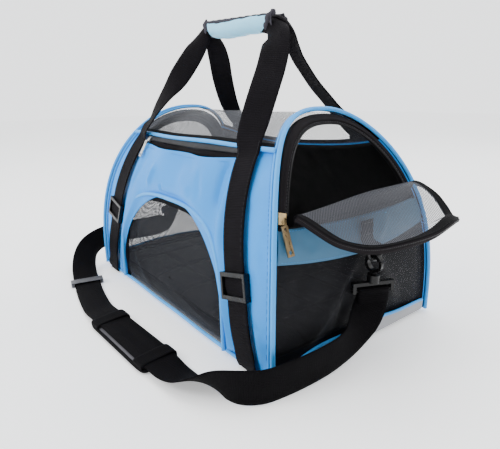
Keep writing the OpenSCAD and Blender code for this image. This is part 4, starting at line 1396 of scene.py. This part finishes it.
# ---- shoulder strap -----------------------------------------------------

# The route of the strap's middle in metres and the direction across its width, as in the CAD model.
STRAP_ROUTE = np.array([
    [-239, 0, 71, -0.4, 0.9, 0], [-239.3, -0.6, 64, -0.4, 0.9, 0], [-241, -6, 55, -0.3, 0.8, -0.3],
    [-246, -18, 48, 0, 0.4, -1], [-252, -40, 44, 0, 0, -1], [-258, -66, 43, 0, 0, -1],
    [-262, -94, 43, 0, 0, -1], [-262, -120, 41, 0, 0.1, -1], [-256, -144, 37, 0.1, 0.2, -1],
    [-243, -164, 30, 0.3, 0.5, -0.8], [-225, -177, 21, 0.3, 0.8, -0.5], [-204, -186, 12, 0.2, 0.9, -0.2],
    [-182, -192, 6, 0.1, 1, 0], [-158, -197, 4, 0.1, 1, 0], [-126, -204, 3, 0.1, 1, 0],
    [-92, -210, 3, 0.1, 1, 0], [-55, -215, 4, 0, 1, 0], [-20, -216, 8, 0, 1, 0], [15, -214, 9, 0, 1, 0],
    [50, -212, 9, 0, 1, 0], [85, -210, 9, 0, 1, 0], [118, -208, 9, 0, 1, 0], [144, -206, 7, 0, 1, -0.1],
    [167, -202, 9, 0, 1, -0.3], [189, -195, 14, 0, 0.8, -0.7], [209, -187, 19, 0, 0.3, -1],
    [227, -175, 20, 0, 0, -1], [239, -158, 20, 0, 0, -1], [244, -134, 20, 0, 0, -1],
    [246, -108, 20, 0, 0, -1], [247, -82, 21, 0, 0, -1], [247, -58, 24, 0, 0.1, -1],
    [246, -38, 31, 0.1, 0.4, -0.8], [244, -21, 43, 0.3, 0.8, -0.3], [241, -7, 55, 0.4, 0.9, 0],
    [239.3, -0.6, 64, 0.4, 0.9, 0], [239, 0, 71, 0.4, 0.9, 0]]) * [0.001, 0.001, 0.001, 1, 1, 1]
PAD_AT, PAD_TURN = (0.051, -0.212, 0.0), math.radians(3.3)
PAD_L, PAD_W = 0.142, 0.046

strap_line = smooth_line(STRAP_ROUTE, 420)
strap_path = strap_line[:, :3]
strap_side = unit(strap_line[:, 3:])


def turned(points, at, turn):
    """Points built round the origin along +X, put in their place on the strap."""
    c, n = math.cos(turn), math.sin(turn)
    x, y = points[..., 0], points[..., 1]
    return np.stack([at[0] + x * c - y * n, at[1] + x * n + y * c, at[2] + points[..., 2]], axis=-1)


def shoulder_strap():
    """The strap's webbing along its whole route, slightly cupped."""
    cups = 0.10 + 0.10 * np.sin(lengths(strap_path) * 23)
    sections = [band_section(STRAP_W, 0.0019, 13, cup) for cup in cups]
    obj = sweep_mesh("shoulder_webbing", strap_path, np.stack(sections), strap_side, [strap_webbing])
    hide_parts("shoulder_strap")
    return obj


def strap_end(s, name):
    """The strap's end, folded round the frame's bar and sewn back on itself."""
    turn = math.radians(25)
    along = np.array([math.sin(turn) * s, math.cos(turn), 0])
    out = np.array([math.cos(turn), -math.sin(turn) * s, 0])
    r = 0.0034
    bar = np.array([s * RING_X, 0, STRAP_BAR_Z])
    tail_a = bar + out * s * 0.0026 + np.array([[0, 0, -0.0150], [0, 0, -0.0085], [0, 0, -0.0040]])
    tail_b = bar - out * s * 0.0022 + np.array([[0, 0, -0.0040], [0, 0, -0.0085], [0, 0, -0.0120]])
    a = np.linspace(-0.15, 1.15, 14) * np.pi
    loop = bar + r * (np.cos(a)[:, None] * out * s + np.sin(a)[:, None] * [0, 0, 1])
    path = smooth_line(np.vstack([tail_a, loop, tail_b]), 70)
    obj = sweep_mesh(name + "_strap_fold", path, band_section(STRAP_W - 0.001, 0.0017, 11), along,
                     [strap_webbing])
    return obj


def strap_pad():
    """Slip-on pad: a swollen pad lying on the floor, with a webbing loop across each end."""
    X, Y = plan(PAD_L / 2 - 0.002, PAD_W / 2 - 0.0015, 60, 22)
    k = 1 - np.maximum(np.abs(X) / (PAD_L / 2), np.abs(Y) / (PAD_W / 2)) ** 12
    heights = 0.0030 + 0.0022 * k + 0.0006 * np.sin(X / 0.018), 0.0022 - 0.0012 * k
    top, low = (turned(np.stack([X, Y, z], -1), PAD_AT, PAD_TURN) for z in heights)
    obj = make("shoulder_pad_cushion", *slab(top, low), None, [pad_cloth])
    fix_normals(obj)
    obj = puffed(obj, 0.0014, 2.0, 0.0014)
    co = np.array([v.co for v in obj.data.vertices])
    co[:, 2] = np.clip(co[:, 2], 0.0006, 0.0068)
    obj.data.vertices.foreach_set("co", co.ravel())
    obj.data.update()
    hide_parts("shoulder_pad")
    parts = [obj]
    ring = rounded_ring(PAD_L / 2 - 0.0012, PAD_W / 2 - 0.0012, 0.16, 0.0030, 159, 120)
    parts.append(tube("shoulder_pad_binding", turned(ring, PAD_AT, PAD_TURN), 0.0021, [binding],
                      side=(0, 0, 1), closed=True, n=10))
    for e, end in ((-1, "left"), (1, "right")):
        a = np.linspace(0, 2 * np.pi, 72, endpoint=False)
        y = (PAD_W / 2 - 0.001) * np.sign(np.cos(a)) * np.abs(np.cos(a)) ** 0.35
        z = 0.0058 + 0.0050 * np.sign(np.sin(a)) * np.abs(np.sin(a)) ** 0.5
        z += 0.0008 * np.sin(y / 0.013) * (np.sin(a) > 0)
        path = np.column_stack([np.full(72, e * (PAD_L / 2 - 0.013)), y, z])
        loop = sweep_mesh(f"shoulder_pad_{end}_loop", turned(path, PAD_AT, PAD_TURN),
                          band_section(0.020, 0.0015, 9), (math.cos(PAD_TURN), math.sin(PAD_TURN), 0),
                          [strap_webbing], closed=True)
        parts.append(loop)
        row = np.array([[e * (PAD_L / 2 - 0.0245), y_, 0.0062] for y_ in np.linspace(-0.017, 0.017, 16)])
        parts.append(dashes(f"shoulder_pad_{end}_stitches", turned(row, PAD_AT, PAD_TURN), (0, 0, 1),
                            thread_grey))
    return parts


strap = shoulder_strap()
adjuster = refined("strap_adjuster", adjuster_metal, 0.0011, segments=3)
pad_parts = strap_pad()
folds = [strap_end(s, name) for s, name in ENDS]

# ---- stage --------------------------------------------------------------


def stage():
    """Pale floor, a sky that is brighter behind the bag, and three soft lamps."""
    floor = bpy.data.meshes.new("floor")
    floor.from_pydata([(-6, -6, 0), (6, -6, 0), (6, 6, 0), (-6, 6, 0)], [], [(0, 1, 2, 3)])
    plane = bpy.data.objects.new("floor", floor)
    bpy.context.scene.collection.objects.link(plane)
    plane.location.z = -0.0004
    finish = Finish("pale_floor", 0.55)
    cloud = finish.ramp(finish.noise(3), 0.3, 0.7, 0, 1)
    finish.colour(finish.mix(cloud, linear(246, 247, 248), linear(252, 252, 252)))
    finish.bsdf.inputs["Emission Color"].default_value = (1, 1, 1, 1)
    finish.bsdf.inputs["Emission Strength"].default_value = 0.45
    floor.materials.append(finish.mat)
    world = bpy.data.worlds.new("studio")
    bpy.context.scene.world = world
    world.use_nodes = True
    tree = world.node_tree
    towards = tree.nodes.new("ShaderNodeVectorMath")
    towards.operation = "DOT_PRODUCT"
    towards.inputs[1].default_value = (-0.72, 0.55, 0.42)
    tree.links.new(tree.nodes.new("ShaderNodeTexCoord").outputs["Generated"], towards.inputs[0])
    soft = tree.nodes.new("ShaderNodeMapRange")
    soft.interpolation_type = "SMOOTHSTEP"
    for k, value in enumerate((-0.80, 0.85, 0.50, 2.3)):
        soft.inputs[k + 1].default_value = value
    tree.links.new(towards.outputs["Value"], soft.inputs[0])
    ground = tree.nodes["Background"]
    ground.inputs[0].default_value = (0.97, 0.985, 1.0, 1)
    tree.links.new(soft.outputs[0], ground.inputs[1])
    for name, at, aim, size, watts in (
            ("key", (-0.7, -1.9, 1.6), (0, -0.1, 0.12), 1.0, 36),
            ("top", (0.1, 0.3, 2.3), (0, 0, 0.2), 1.6, 24),
            ("rim", (0.4, 1.9, 1.2), (0, 0.1, 0.2), 1.2, 12)):
        light = bpy.data.lights.new(name, "AREA")
        light.energy, light.size = watts, size
        lamp = bpy.data.objects.new(name, light)
        bpy.context.scene.collection.objects.link(lamp)
        lamp.location = at
        lamp.rotation_euler = (Vector(aim) - Vector(at)).to_track_quat("-Z", "Y").to_euler()


stage()
